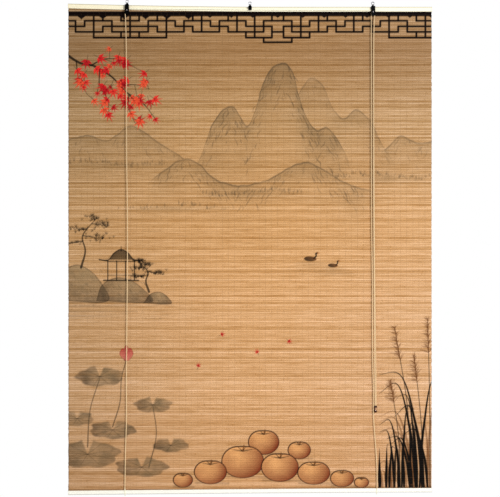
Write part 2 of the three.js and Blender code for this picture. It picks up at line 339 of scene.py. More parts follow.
@dataclass(frozen=True)
class BambooFinish:
    """Split bamboo with the print on its front: tones by place, partly painted light and shade, tones by slat,
    fibres, joints and painted groove shade.
    """

    top: float
    pitch: float
    bottom: float = -1210.3
    tones: tuple[tuple[float, Shade], ...] = (  # the print's ground tint at each height, with painted shade that darkens the upper part
        (-45, (173, 135, 93)),
        (-80, (164, 126, 85)),
        (-112, (152, 113, 72)),
        (-290, (188, 147, 100)),
        (-550, (207, 157, 103)),
        (-950, (214, 166, 118)),
        (-1180, (206, 156, 108)),
    )
    left: Colour = (0.8, 0.85, 0.93, 1.0)  # what multiplies the tones at the left end, a painted shade
    right: Colour = (1.01, 1.06, 1.19, 1.0)  # and at the right end, a painted light
    warmer: Colour = (1.04, 0.97, 0.88, 1.0)  # and on some of the slats
    light: float = 0.985  # how light a slat of middle tone is
    uneven: float = 0.245  # how much the slats differ in tone
    streaks: float = 1.12  # how strong the long streaks are
    fibres: float = 0.35  # how strong the fine fibres are
    lines: float = 0.16  # how dark the joints and the painted groove shade are
    joints: float = 3.4  # how many a slat has to the metre

    def material(self) -> bpy.types.Material:
        """Builds the material, which reads the attributes tone, seed and ink.

        Returns:
            The material.
        """
        s = Shader("printed_bamboo")
        x, y, z = s.axes()
        drop = self.top - self.bottom
        stops = [((self.top - height) / drop, paint(*tone)) for height, tone in self.tones]
        down = s.ramp((self.top * MM - z) / (drop * MM), stops)
        # painted shade towards the left end and painted light towards the right end, as if lit from the right
        side = s.mix(x.rise(0.02, 0.46), s.mix(x.rise(-0.5, 0.0), self.left, WHITE), self.right)
        ground = s.mix(1.0, down, side, "MULTIPLY")
        seed = s.attribute("seed")
        shifted = s.join(x + seed * 7.0, y, z)
        streak = s.noise((19.0, 40.0, 420.0), 3.0, 0.55, shifted)
        fibre = s.noise((40.0, 900.0, 2600.0), 2.0, 0.6, shifted)
        along = (x * self.joints + seed * 5.3) % 1.0
        joint = 1 - (along - 0.5).size().rise(0.002, 0.006)
        # painted shade in the grooves along the upper and lower edges of each slat's front
        across = ((self.top * MM - z) / (self.pitch * MM)) % 1.0
        groove_shade = (across - 0.5).size().rise(0.3, 0.5) * ((seed * 17.0) % 1.0).rise(0.2, 1.0)
        light = self.light + s.attribute("tone") * self.uneven + (streak - 0.5) * self.streaks
        light = light + (fibre - 0.5) * self.fibres - joint * self.lines - groove_shade * self.lines
        light = light.at_least(0.05)
        grain = s.vector("MULTIPLY", ground, s.join(light**0.72, light, light**1.6))
        # darker slat ends: end grain at both ends, and a wider painted shade along the left end
        ends = x.size().rise(0.4488, 0.45) + (0 - x).rise(0.4462, 0.4482) * 0.8
        back = y.rise(0.0024, 0.0028)
        # painted shadow of the bottom rail on the slats just above it
        foot = 1 - (z - BOTTOM_RAIL_BOW.shaded(x)).rise(-1.2002, -1.1972)
        wood = s.scaled(grain, 1.06 * (1 - ends * 0.35) * (1 - back * 0.08) * (1 - foot * 0.24))
        warm = s.mix(seed.rise(0.55, 1.0) * 0.15, wood, s.mix(1.0, wood, self.warmer, "MULTIPLY"))
        rough = 0.6 + (fibre - 0.5) * 0.25 - s.attribute("ink", "Alpha") * 0.08
        normal = s.bump(fibre * 0.6 + streak * 0.4, 0.00012, 0.7)
        return s.finish(Base_Color=s.printed(warm), Roughness=rough, Normal=normal, Specular_IOR_Level=0.04)


@dataclass(frozen=True)
class ThreadFinish:
    """Twisted warp thread, a little darker than the slats and darker still towards the top, a painted shade."""

    dark: Shade = (160, 122, 80)
    pale: Shade = (192, 152, 106)

    def material(self) -> bpy.types.Material:
        """Builds the material, which reads the attribute ink.

        Returns:
            The material.
        """
        s = Shader("warp_thread")
        _, _, z = s.axes()
        twist = s.noise((1500.0, 1500.0, 500.0), 1.0)
        # painted shade: darker towards the top, like the slats' tones
        thread = s.scaled(s.mix(twist, paint(*self.dark), paint(*self.pale)), 1.12 - z.rise(-0.9, -0.05) * 0.35)
        normal = s.bump(twist, 0.0001)
        return s.finish(Base_Color=s.printed(thread), Roughness=0.85, Normal=normal, Specular_IOR_Level=0.06)


@dataclass(frozen=True)
class BattenFinish:
    """Cream painted batten whose grain shows through a little, worn at its ends, with a painted shade line along one
    rounded edge.
    """

    name: str
    foot: float  # its underside's height
    bow: Bow
    line: tuple[float, float]  # how far over its foot the painted shade line begins and ends
    strength: float  # of that line
    body: Shade = (250, 243, 215)
    warm: Shade = (244, 228, 188)
    edge: Shade = (196, 186, 152)  # the painted shade line's colour

    def material(self) -> bpy.types.Material:
        """Builds the material, whose painted shade line lies between two heights over the batten's foot and keeps to
        its bow.

        Returns:
            The material.
        """
        s = Shader("cream_" + self.name)
        x, _, z = s.axes()
        grain = s.noise((5.0, 260.0, 420.0), 4.0, 0.6)
        fine = s.noise((60.0, 2200.0, 2600.0), 2.0, 0.5)
        patch = s.noise((9.0, 30.0, 60.0), 2.0, 0.5)
        warmth = (1 - x.rise(-0.45, 0.05)) * 0.35 + patch.rise(0.55, 0.8) * 0.15 + x.size().rise(0.445, 0.45) * 0.3
        base = s.mix(warmth, paint(*self.body), paint(*self.warm))
        grained = s.scaled(base, 0.96 + grain * 0.06 + (fine - 0.5) * 0.03)
        low, high = self.line
        up = (z - self.bow.shaded(x) - self.foot * MM) / MM
        # painted shade along one rounded edge, following the bow
        inside = 1 - (up - (low + high) / 2).size().rise((high - low) / 4, (high - low) / 2)
        shade_lined = s.mix(inside * self.strength, grained, paint(*self.edge))
        normal = s.bump(grain * 0.7 + fine * 0.3, 0.00015, 0.6)
        rough = 0.42 + (fine - 0.5) * 0.15
        return s.finish(Base_Color=shade_lined, Roughness=rough, Normal=normal, Specular_IOR_Level=0.25)


@dataclass(frozen=True)
class EnamelFinish:
    """Black stove enamel on bent steel, with dust and slight orange peel."""

    name: str = "black_enamel"
    roughness: float = 0.22
    coat: float = 0.02
    black: Colour = (0.0006, 0.0008, 0.0009, 1.0)
    dusty: Colour = (0.014, 0.014, 0.014, 1.0)

    def material(self) -> bpy.types.Material:
        """Builds the material.

        Returns:
            The material.
        """
        s = Shader(self.name)
        peel = s.noise((900.0, 900.0, 900.0), 2.0)
        dust = s.noise((160.0, 160.0, 160.0), 3.0, 0.65).rise(0.55, 0.8)
        return s.finish(
            Base_Color=s.mix(dust * 0.2, self.black, self.dusty),
            Roughness=self.roughness + dust * 0.2,
            Coat_Weight=self.coat,
            Coat_Roughness=0.12,
            Specular_IOR_Level=0.02,
            Normal=s.bump(peel, 0.00004, 0.5),
        )


@dataclass(frozen=True)
class ZincFinish:
    """Grey zinc plating, drawn along its length and a little dull in places."""

    name: str = "zinc_plating"
    bright: Colour = (0.24, 0.24, 0.26, 1.0)
    dull: Colour = (0.13, 0.13, 0.14, 1.0)

    def material(self) -> bpy.types.Material:
        """Builds the material.

        Returns:
            The material.
        """
        s = Shader(self.name)
        bloom = s.noise((500.0, 500.0, 500.0), 3.0, 0.6)
        drawn = s.noise((2600.0, 2600.0, 500.0), 1.0)
        colour = s.mix(bloom.rise(0.4, 0.75), self.bright, self.dull)
        normal = s.bump(drawn, 0.00002, 0.5)
        return s.finish(Base_Color=colour, Metallic=0.95, Roughness=0.24 + bloom * 0.22, Normal=normal)


@dataclass(frozen=True)
class CottonFinish:
    """Braided cream cotton: two sets of strands that cross, on a UV map of turns and metres.

    It is soiled in patches, and darker the higher up, a painted shade; painted light makes it brighter between the
    clips and below the bottom rail.
    """

    strands: int = 8
    lay: float = 0.0062  # metres of cord in which two strands of a set pass
    soil: tuple[Shade, Shade] = ((248, 216, 168), (238, 202, 150))  # least and most
    # the painted light's cream, on the runs over the headrail and under the bottom rail
    painted_light: Shade = (255, 251, 224)

    def material(self) -> bpy.types.Material:
        """Builds the material.

        Returns:
            The material.
        """
        s = Shader("braided_cotton")
        side, along, _ = s.axes(s.out("ShaderNodeTexCoord", output="UV"))
        turn = 2 * math.pi
        left = (side * (turn * self.strands / 2) + along * (turn / self.lay * 2)).sine()
        right = (side * (turn * self.strands / 2) - along * (turn / self.lay * 2)).sine()
        braid = left.maths("MAXIMUM", left, right) * 0.5 + 0.5
        fuzz = s.noise((2500.0, 2500.0, 2500.0), 2.0)
        stain = s.noise((6.0, 6.0, 6.0), 2.0)
        x, _, z = s.axes()
        # soiled in patches, and painted shade that makes it darker the higher up
        soiled_and_shaded = s.scaled(s.mix(stain, *(paint(*shade) for shade in self.soil)), 1.03 - z.rise(-0.9, -0.1) * 0.25)
        # painted light between the clips and below the bottom rail
        painted_light = x.size().below(0.2975).at_least(1 - z.rise(-1.207, -1.199))
        cream = s.mix(painted_light, soiled_and_shaded, paint(*self.painted_light))
        # darker between the strands, a painted shade, and brighter still on the painted light runs
        colour = s.scaled(cream, 0.72 + braid * 0.22 + fuzz * 0.14 + painted_light * 0.24)
        normal = s.bump(braid * 0.8 + fuzz * 0.2, 0.00022, 0.9)
        return s.finish(Base_Color=colour, Roughness=0.85, Sheen_Weight=0.2, Normal=normal)


@dataclass(frozen=True)
class TurnedWoodFinish:
    """Turned wood under a gloss lacquer, stained dark red-brown, with a painted highlight in bare wood colours on the
    right side of its waist.
    """

    middle: Point  # of the turned piece
    stained: tuple[Shade, Shade] = ((34, 6, 0), (66, 26, 8))
    # bare wood colours of the painted highlight
    bare: tuple[Shade, Shade] = ((178, 132, 98), (214, 170, 134))

    def material(self) -> bpy.types.Material:
        """Builds the material.

        Returns:
            The material.
        """
        s = Shader("lacquered_wood")
        grain = s.noise((900.0, 900.0, 90.0), 3.0, 0.6)
        rings = s.noise((20.0, 20.0, 1400.0), 1.0)
        x, _, z = s.axes()
        dark, light = (s.mix(grain.rise(0.35, 0.7), *(paint(*c) for c in pair)) for pair in (self.stained, self.bare))
        across, up = (x - self.middle[0] * MM) / MM, (z - self.middle[1] * MM) / MM
        # painted highlight on the side of the waist towards the key light
        waist = (1 - up.size().rise(2.0, 5.2)) * across.rise(-3.0, 1.2)
        return s.finish(
            Base_Color=s.scaled(s.mix(waist, dark, light), 0.85 + rings * 0.3),
            Roughness=0.25 + grain * 0.1,
            Coat_Weight=0.12,
            Coat_Roughness=0.08,
            Specular_IOR_Level=0.1,
            Normal=s.bump(grain * 0.5 + rings * 0.5, 0.00005, 0.4),
        )


@dataclass(frozen=True)
class FloorFinish:
    """Plain pale floor."""

    dark: Colour = (0.72, 0.72, 0.71, 1.0)
    light: Colour = (0.78, 0.78, 0.77, 1.0)

    def material(self) -> bpy.types.Material:
        """Builds the material."""
        s = Shader("pale_floor")
        return s.finish(Base_Color=s.mix(s.noise((0.8, 0.8, 0.8), 3.0), self.dark, self.light), Roughness=0.7)


# ---------------------------------------------------------------- sweeping a section along lines


class Facing(Enum):
    """How a section is turned as it goes along a line."""

    FRONT = "FREE"
    LEAST_TWIST = "MINIMUM_TWIST"


@dataclass
class Guide:
    """Lines for a section to follow, with values at their points."""

    points: list[np.ndarray] = field(default_factory=list)
    values: dict[str, list[np.ndarray]] = field(default_factory=dict)

    def add(self, line: np.ndarray, **values: np.ndarray | float) -> None:
        """Adds one line.

        Args:
            line: its points in metres, one a row.
            **values: for each attribute, a value for the line or for each point.
        """
        self.points.append(line)
        for name, value in values.items():
            self.values.setdefault(name, []).append(np.broadcast_to(value, len(line)).astype(np.float32))

    def mesh(self, name: str) -> bpy.types.Mesh:
        """Makes the lines a mesh of edges that carries the attributes.

        Args:
            name: the mesh's name.

        Returns:
            The mesh.
        """
        lengths = [len(line) for line in self.points]
        starts = np.cumsum([0, *lengths[:-1]])
        edges = [(s + i, s + i + 1) for s, n in zip(starts, lengths) for i in range(n - 1)]
        mesh = bpy.data.meshes.new(name)
        mesh.from_pydata(np.vstack(self.points).tolist(), edges, [])
        for attribute, parts in self.values.items():
            mesh.attributes.new(attribute, "FLOAT", "POINT").data.foreach_set("value", np.concatenate(parts))
        return mesh


def new_object(name: str, mesh: bpy.types.Mesh) -> bpy.types.Object:
    """Adds an object at the origin.

    Args:
        name: its name.
        mesh: the mesh that it shows.

    Returns:
        The object.
    """
    piece = bpy.data.objects.new(name, mesh)
    bpy.context.scene.collection.objects.link(piece)
    return piece


def settle(piece: bpy.types.Object) -> bpy.types.Object:
    """Turns a piece and its modifiers into a plain mesh.

    Args:
        piece: the object.

    Returns:
        The object, with no modifier left.
    """
    bpy.context.view_layer.update()
    evaluated = piece.evaluated_get(bpy.context.evaluated_depsgraph_get())
    mesh = bpy.data.meshes.new_from_object(evaluated)
    piece.modifiers.clear()
    piece.data = mesh
    mesh.name = piece.name
    return piece


class NodeModifier:
    """A Geometry Nodes tree with named inputs that makes one piece."""

    def __init__(self, name: str, inputs: dict[str, tuple[str, object]]) -> None:
        """Makes the tree's sockets.

        Args:
            name: the tree's name.
            inputs: for each named input, its socket type and its value.
        """
        group = bpy.data.node_groups.new(name, "GeometryNodeTree")
        group.interface.new_socket("Geometry", in_out="INPUT", socket_type="NodeSocketGeometry")
        group.interface.new_socket("Geometry", in_out="OUTPUT", socket_type="NodeSocketGeometry")
        self.values = {}
        for label, (kind, value) in inputs.items():
            socket = group.interface.new_socket(label, in_out="INPUT", socket_type=kind)
            self.values[socket.identifier] = value
        self.tree = Tree(group)
        self.source = self.tree.node("NodeGroupInput")

    def given(self, label: str) -> Socket:
        """One of the tree's inputs."""
        return Socket(self.tree, self.source.outputs[label])

    def run(self, piece: bpy.types.Object, geometry: Socket, finish: str) -> bpy.types.Object:
        """Ends the tree, runs it on a piece and leaves a plain mesh.

        Args:
            piece: the object whose mesh goes in.
            geometry: what the tree has made.
            finish: the input that holds its material.

        Returns:
            The piece.
        """
        real = self.tree.out("GeometryNodeRealizeInstances", None, {"Geometry": geometry})
        dressed = self.tree.out("GeometryNodeSetMaterial", None, {"Geometry": real, "Material": self.given(finish)})
        self.tree.node("NodeGroupOutput", None, {0: dressed})
        modifier = piece.modifiers.new(self.tree.data.name, "NODES")
        modifier.node_group = self.tree.data
        for identifier, value in self.values.items():
            modifier[identifier] = value
        return settle(piece)


def swept(
    name: str, guide: Guide, section: np.ndarray, finish: bpy.types.Material, facing: Facing
) -> bpy.types.Object:
    """Draws a closed section along every line of a guide.

    Args:
        name: the piece's name.
        guide: the lines, with the attributes tilt and scale.
        section: the section's points in metres, x towards the way it faces.
        finish: its material.
        facing: how the section is turned.

    Returns:
        The piece.
    """
    loop = [(i, (i + 1) % len(section)) for i in range(len(section))]
    outline = bpy.data.meshes.new(name + "_section")
    outline.from_pydata([(x, y, 0.0) for x, y in section], loop, [])
    shape = new_object(name + "_section", outline)
    make = NodeModifier(
        name + "_sweep",
        {
            "Section": ("NodeSocketObject", shape),
            "Finish": ("NodeSocketMaterial", finish),
            "Closed ends": ("NodeSocketBool", True),
        },
    )
    tree = make.tree
    lines = tree.out("GeometryNodeMeshToCurve", None, {"Mesh": make.given("Geometry")})
    turned = tree.node("GeometryNodeSetCurveNormal", {"mode": facing.value}, {"Curve": lines})
    if facing is Facing.FRONT:
        turned.inputs["Normal"].default_value = (0.0, -1.0, 0.0)
    tilt = tree.out("GeometryNodeInputNamedAttribute", {"data_type": "FLOAT"}, {"Name": "tilt"})
    tilted = tree.out("GeometryNodeSetCurveTilt", None, {"Curve": Socket(tree, turned.outputs[0]), "Tilt": tilt})
    scale = tree.out("GeometryNodeInputNamedAttribute", {"data_type": "FLOAT"}, {"Name": "scale"})
    drawn = tree.out("GeometryNodeObjectInfo", None, {"Object": make.given("Section")}, "Geometry")
    profile = tree.out("GeometryNodeMeshToCurve", None, {"Mesh": drawn})
    inputs = {"Curve": tilted, "Profile Curve": profile, "Scale": scale, "Fill Caps": make.given("Closed ends")}
    body = tree.out("GeometryNodeCurveToMesh", None, inputs)
    smooth = tree.out("GeometryNodeSetShadeSmooth", None, {"Geometry": body})
    piece = make.run(new_object(name, guide.mesh(name)), smooth, "Finish")
    bpy.data.objects.remove(shape)
    return face_outwards(piece)


def circle(sides: int, radius: float) -> np.ndarray:
    """A round section, whose radius is in millimetres."""
    turns = np.arange(sides) * 2 * math.pi / sides
    return np.stack([np.cos(turns), np.sin(turns)], axis=1) * radius * MM


def around(x: float, z: float, a: float, b: float, angle: float) -> Point:
    """The point of an ellipse round x, z, with half axes a and b, at an angle."""
    return (x + a * math.cos(angle), z + b * math.sin(angle))


def vertices(mesh: bpy.types.Mesh) -> np.ndarray:
    """Reads where a mesh's vertices are.

    Args:
        mesh: the mesh.

    Returns:
        Their places in metres, one a row.
    """
    places = np.zeros(len(mesh.vertices) * 3, np.float32)
    mesh.vertices.foreach_get("co", places)
    return places.reshape(-1, 3)


def face_outwards(piece: bpy.types.Object) -> bpy.types.Object:
    """Turns a closed mesh the right way out if its volume is below 0.

    Args:
        piece: the object that shows it.

    Returns:
        The object.
    """
    mesh = piece.data
    corners = vertices(mesh)
    triangles = np.zeros(len(mesh.loop_triangles) * 3, np.int32)
    mesh.loop_triangles.foreach_get("vertices", triangles)
    a, b, c = (corners[triangles.reshape(-1, 3)[:, i]] for i in range(3))
    if np.einsum("ij,ij->i", a, np.cross(b, c)).sum() < 0:
        mesh.flip_normals()
    return piece


def through(points: Sequence[Sequence[float]], step: float) -> np.ndarray:
    """A smooth line through points.

    Args:
        points: the points, of two or three numbers.
        step: about how far apart the line's own points are.

    Returns:
        The line's points, one a row.
    """
    p = np.array(points, float)
    if len(p) < 3:
        return p
    p = np.vstack([2 * p[0] - p[1], p, 2 * p[-1] - p[-2]])
    knots = np.concatenate([[0], np.cumsum(np.sqrt(np.linalg.norm(np.diff(p, axis=0), axis=1)))])
    line = []
    for i in range(1, len(p) - 2):
        t0, t1, t2, t3 = knots[i - 1 : i + 3]
        count = max(1, int(np.linalg.norm(p[i + 1] - p[i]) / step))
        t = np.linspace(t1, t2, count, endpoint=False)[:, None]
        a1 = (t1 - t) / (t1 - t0) * p[i - 1] + (t - t0) / (t1 - t0) * p[i]
        a2 = (t2 - t) / (t2 - t1) * p[i] + (t - t1) / (t2 - t1) * p[i + 1]
        a3 = (t3 - t) / (t3 - t2) * p[i + 1] + (t - t2) / (t3 - t2) * p[i + 2]
        b1 = (t2 - t) / (t2 - t0) * a1 + (t - t0) / (t2 - t0) * a2
        b2 = (t3 - t) / (t3 - t1) * a2 + (t - t1) / (t3 - t1) * a3
        line.append((t2 - t) / (t2 - t1) * b1 + (t - t1) / (t2 - t1) * b2)
    return np.vstack([*line, p[-2:-1]])


# ---------------------------------------------------------------- the print


def off_line(x: np.ndarray, z: np.ndarray, a: np.ndarray, b: np.ndarray) -> tuple[np.ndarray, np.ndarray]:
    """Measures places against a straight line.

    Args:
        x: the places across.
        z: the places' heights.
        a: the line's start.
        b: the line's end.

    Returns:
        How far along the line the nearest point is, from 0 to 1, and how far away it is.
    """
    dx, dz = b - a
    t = np.clip(((x - a[0]) * dx + (z - a[1]) * dz) / max(dx * dx + dz * dz, 1e-9), 0, 1)
    return t, np.hypot(x - a[0] - t * dx, z - a[1] - t * dz)


class InkCanvas:
    """The print on the slats' fronts: ink colour times its cover, and the cover, on a fine grid."""

    def __init__(self, half: float, top: float, bottom: float, pitch: float) -> None:
        """Starts with no ink.

        Args:
            half: half the blind's width.
            top: height of the print's place above.
            bottom: height of its lower end.
            pitch: distance between the grid's points.
        """
        self.pitch, self.left, self.top = pitch, -half, top
        self.x = np.arange(-half + pitch / 2, half, pitch)
        self.z = np.arange(top - pitch / 2, bottom, -pitch)
        self.ink = np.zeros((len(self.z), len(self.x), 4), np.float32)

    def clouds(self, cell: float, seed: int, stretch: float = 1.0) -> np.ndarray:
        """Soft noise from 0 to 1 over the whole canvas.

        Args:
            cell: the size of its patches up and down.
            seed: which noise it is.
            stretch: how much longer the patches are across.

        Returns:
            One value for each point of the canvas.
        """
        total = np.zeros(self.ink.shape[:2], np.float32)
        rng = np.random.default_rng(seed)
        for octave, weight in ((1, 0.6), (2, 0.28), (4, 0.12)):
            u = (self.x - self.left) / (cell * stretch) * octave
            v = (self.top - self.z) / cell * octave
            grid = rng.random((int(v.max()) + 2, int(u.max()) + 2))
            iu, iv = u.astype(int), v.astype(int)
            fu, fv = (w * w * (3 - 2 * w) for w in (u - iu, (v - iv)[:, None]))
            upper = grid[np.ix_(iv, iu)] * (1 - fu) + grid[np.ix_(iv, iu + 1)] * fu
            lower = grid[np.ix_(iv + 1, iu)] * (1 - fu) + grid[np.ix_(iv + 1, iu + 1)] * fu
            total += weight * (upper * (1 - fv) + lower * fv)
        return total

    def between(self, low: np.ndarray, high: np.ndarray) -> Part:
        """Finds the part of the canvas between two corners, with a point to spare on each side.

        Args:
            low: the lower left corner.
            high: the upper right corner.

        Returns:
            The part's rows and columns.
        """
        cols = np.clip(np.array([low[0] - self.left, high[0] - self.left]) / self.pitch + (-1, 2), 0, len(self.x))
        rows = np.clip(np.array([self.top - high[1], self.top - low[1]]) / self.pitch + (-1, 2), 0, len(self.z))
        return slice(int(rows[0]), int(rows[1])), slice(int(cols[0]), int(cols[1]))

    def lay(self, cover: np.ndarray, colour: np.ndarray | Colour, part: Part = (slice(None), slice(None))) -> None:
        """Lays ink over what is there.

        Args:
            cover: how much of it, from 0 to 1, for each point of the part.
            colour: its colour, the same all over or for each point.
            part: the rows and columns that it lies in.
        """
        cover = np.clip(cover, 0, 1)[..., None]
        colours = np.broadcast_to(np.array(colour)[..., :3], (*cover.shape[:2], 3))
        ink = np.concatenate([colours, np.ones_like(cover)], axis=2)
        self.ink[part] = self.ink[part] * (1 - cover) + ink * cover

    def lift(self, share: np.ndarray) -> None:
        """Takes a share of the ink off again, from 0 to 1 for each point of the canvas."""
        self.ink *= 1 - share[..., None]

    def stroke(
        self, points: Line, widths: Sequence[float], colour: Colour, cover: float = 1.0, soft: float = 1.5
    ) -> None:
        """Draws one stroke of the brush.

        Args:
            points: the points that it goes through.
            widths: its width from its start to its end.
            colour: the ink.
            cover: how dense the ink is.
            soft: how wide its soft edge is.
        """
        p = np.array(points, float)
        far = np.concatenate([[0], np.cumsum(np.linalg.norm(np.diff(p, axis=0), axis=1))])
        w = np.interp(far, np.linspace(0, far[-1], len(widths)), widths) / 2
        edge = w.max() + soft
        part = self.between(p.min(0) - edge, p.max(0) + edge)
        above, before = part[0].start, part[1].start
        mask = np.zeros((part[0].stop - above, part[1].stop - before), np.float32)
        if not mask.size:
            return
        for a, b, wa, wb in zip(p[:-1], p[1:], w[:-1], w[1:]):
            rows, cols = self.between(np.minimum(a, b) - edge, np.maximum(a, b) + edge)
            if rows.start >= rows.stop or cols.start >= cols.stop:
                continue
            t, away = off_line(self.x[cols][None, :], self.z[rows][:, None], a, b)
            here = np.clip((wa + (wb - wa) * t - away) / soft + 0.5, 0, 1)
            spot = mask[rows.start - above : rows.stop - above, cols.start - before : cols.stop - before]
            np.maximum(spot, here, out=spot)
        self.lay(mask * cover, colour, part)

    def fill(
        self,
        outline: Line,
        colour: Colour,
        cover: float = 1.0,
        soft: float = 1.5,
        shade: Colour | None = None,
        lit: Point = (0.0, 0.0),
        reach: float = 1.0,
        patches: np.ndarray | None = None,
    ) -> None:
        """Fills a closed shape.

        Args:
            outline: its corners.
            colour: the ink, or its colour where it is lightest.
            cover: how dense the ink is.
            soft: how wide its soft edge is.
            shade: the ink's colour at reach from the light place.
            lit: the light place.
            reach: how far off the shade is full.
            patches: the canvas's clouds, where the ink is uneven.
        """
        p = np.array(outline, float)
        part = self.between(p.min(0) - soft, p.max(0) + soft)
        x, z = self.x[part[1]][None, :], self.z[part[0]][:, None]
        inside = np.zeros((z.shape[0], x.shape[1]), bool)
        away = np.full(inside.shape, 1e9)
        for a, b in zip(p, np.roll(p, -1, 0)):
            dx, dz = b - a
            if dz:
                inside ^= ((a[1] > z) != (b[1] > z)) & (x < a[0] + (z - a[1]) * dx / dz)
            away = np.minimum(away, off_line(x, z, a, b)[1])
        mask = np.clip(np.where(inside, away, -away) / soft + 0.5, 0, 1) * cover
        if patches is not None:
            mask = mask * patches[part]
        if shade is not None:
            t = np.clip(np.hypot(x - lit[0], z - lit[1]) / reach, 0, 1)[..., None] ** 1.5
            colour = np.array(colour) * (1 - t) + np.array(shade) * t
        self.lay(mask, colour, part)

    def sample(self, x: np.ndarray, z: np.ndarray) -> np.ndarray:
        """Reads the ink at places on the blind's face.

        Args:
            x: the places across.
            z: the places' heights.

        Returns:
            Four numbers for each place, a row each.
        """
        u = np.clip((x - self.left) / self.pitch - 0.5, 0, len(self.x) - 1.001)
        v = np.clip((self.top - z) / self.pitch - 0.5, 0, len(self.z) - 1.001)
        iu, iv = u.astype(int), v.astype(int)
        fu, fv = (u - iu)[:, None], (v - iv)[:, None]
        upper = self.ink[iv, iu] * (1 - fu) + self.ink[iv, iu + 1] * fu
        lower = self.ink[iv + 1, iu] * (1 - fu) + self.ink[iv + 1, iu + 1] * fu
        return upper * (1 - fv) + lower * fv


@dataclass
class Border:
    """The traditional key lattice along the top of the print, charted.

    Its lines run between numbered columns, counted outwards from its middle, and rows, counted downwards.
    """

    middle: float = 68.65
    columns: tuple[float, ...] = (
        14.3, 34.9, 57.1, 78.9, 100.9, 122.7, 144.5, 166.5, 188.3, 210.3, 232.1, 253.8,
        275.6, 298.1, 320.6, 343.1, 365.4, 387.9, 410.4, 433.0, 455.5, 478.0, 500.5,
    )  # fmt: skip
    rows: tuple[float, ...] = (-33.4, -45.4, -59.0, -72.8, -86.9, -98.5)
    band: tuple[float, float] = (-22.0, -34.2)  # its upper and lower edge
    cusp: tuple[Point, ...] = (
        (-10.5, 1.0), (-6.5, -2.6), (-2.0, -5.6), (0.0, -9.0), (2.0, -5.6), (6.5, -2.6), (10.5, 1.0),
    )  # fmt: skip
    cusp_start: float = 62.0
    cusp_pitch: float = 53.0
    cusps: int = 9  # to each side of the middle one
    shallow: float = -130.0  # where the cusps become smaller, to the right
    shallow_size: float = 0.55
    thick: float = 5.0  # how wide its lines are
    past: float = 5.0  # how far the band runs off the blind
    ink: Colour = field(default_factory=lambda: paint(12, 2, 1))
    start: int = -1  # the column that stands for the middle
    edge: int = 99  # the column that stands for a place off the blind
    off_edge: float = 600.0

    def paths(self) -> list[list[tuple[int, int]]]:
        """Charts one half.

        Returns:
            Its lines, each a list of (column, row).
        """
        end, zero = self.edge, self.start
        upper = [
            (zero, 1), (1, 1), (1, 3), (5, 3), (5, 2), (7, 2), (7, 1), (10, 1),
            (10, 3), (13, 3), (13, 2), (19, 2), (19, 3), (22, 3), (22, 1), (end, 1),
        ]  # fmt: skip
        lower = [
            (0, 2), (3, 2), (3, 1), (6, 1), (6, 3), (9, 3), (9, 2), (11, 2),
            (11, 1), (14, 1), (14, 3), (18, 3), (18, 1), (21, 1), (21, 2), (end, 2),
        ]  # fmt: skip
        corners = [[(0, 2), (0, 4), (3, 4), (3, 3)], [(zero, 3), (0, 3)], [(zero, 5), (1, 5), (1, 4)]]
        short = [[(c, 0), (c, 1)] for c in (0, 5, 9, 13, 19, 15, 17)]
        long = [[(c, 0), (c, 3)] for c in (4, 8)] + [[(c, 0), (c, 4)] for c in (2, 12, 16, 20)]
        box = [[(15, 1), (17, 1)], [(15, 3), (15, 4)], [(17, 3), (17, 4)], [(12, 4), (20, 4)]]
        return [upper, lower, *corners, *short, *long, *box]

    def draw(self, canvas: InkCanvas) -> None:
        """Draws the band, the cusps under it and both halves of the lattice.

        Args:
            canvas: the print.
        """
        top, bottom = self.band
        end = -canvas.left + self.past
        canvas.fill([(-end, top), (end, top), (end, bottom), (-end, bottom)], self.ink, 1.0, 1.2)
        steps = [self.cusp_start + self.cusp_pitch * i for i in range(self.cusps)]
        for place in (0.0, *(side * step for side in (-1, 1) for step in steps)):
            x = self.middle + place
            size = 1.0 if x < self.shallow else self.shallow_size
            canvas.fill([(x + u * size, bottom + v * size) for u, v in self.cusp], self.ink, 1.0, 1.4)
        for side in (-1, 1):
            for path in self.paths():
                points = [(self.middle + side * self._column(c), self.rows[r]) for c, r in path]
                canvas.stroke(points, [self.thick], self.ink, 1.0, 1.2)

    def _column(self, column: int) -> float:
        """How far a column is from the middle."""
        ends = {self.start: 0.0, self.edge: self.off_edge}
        return ends[column] if column in ends else self.columns[column]


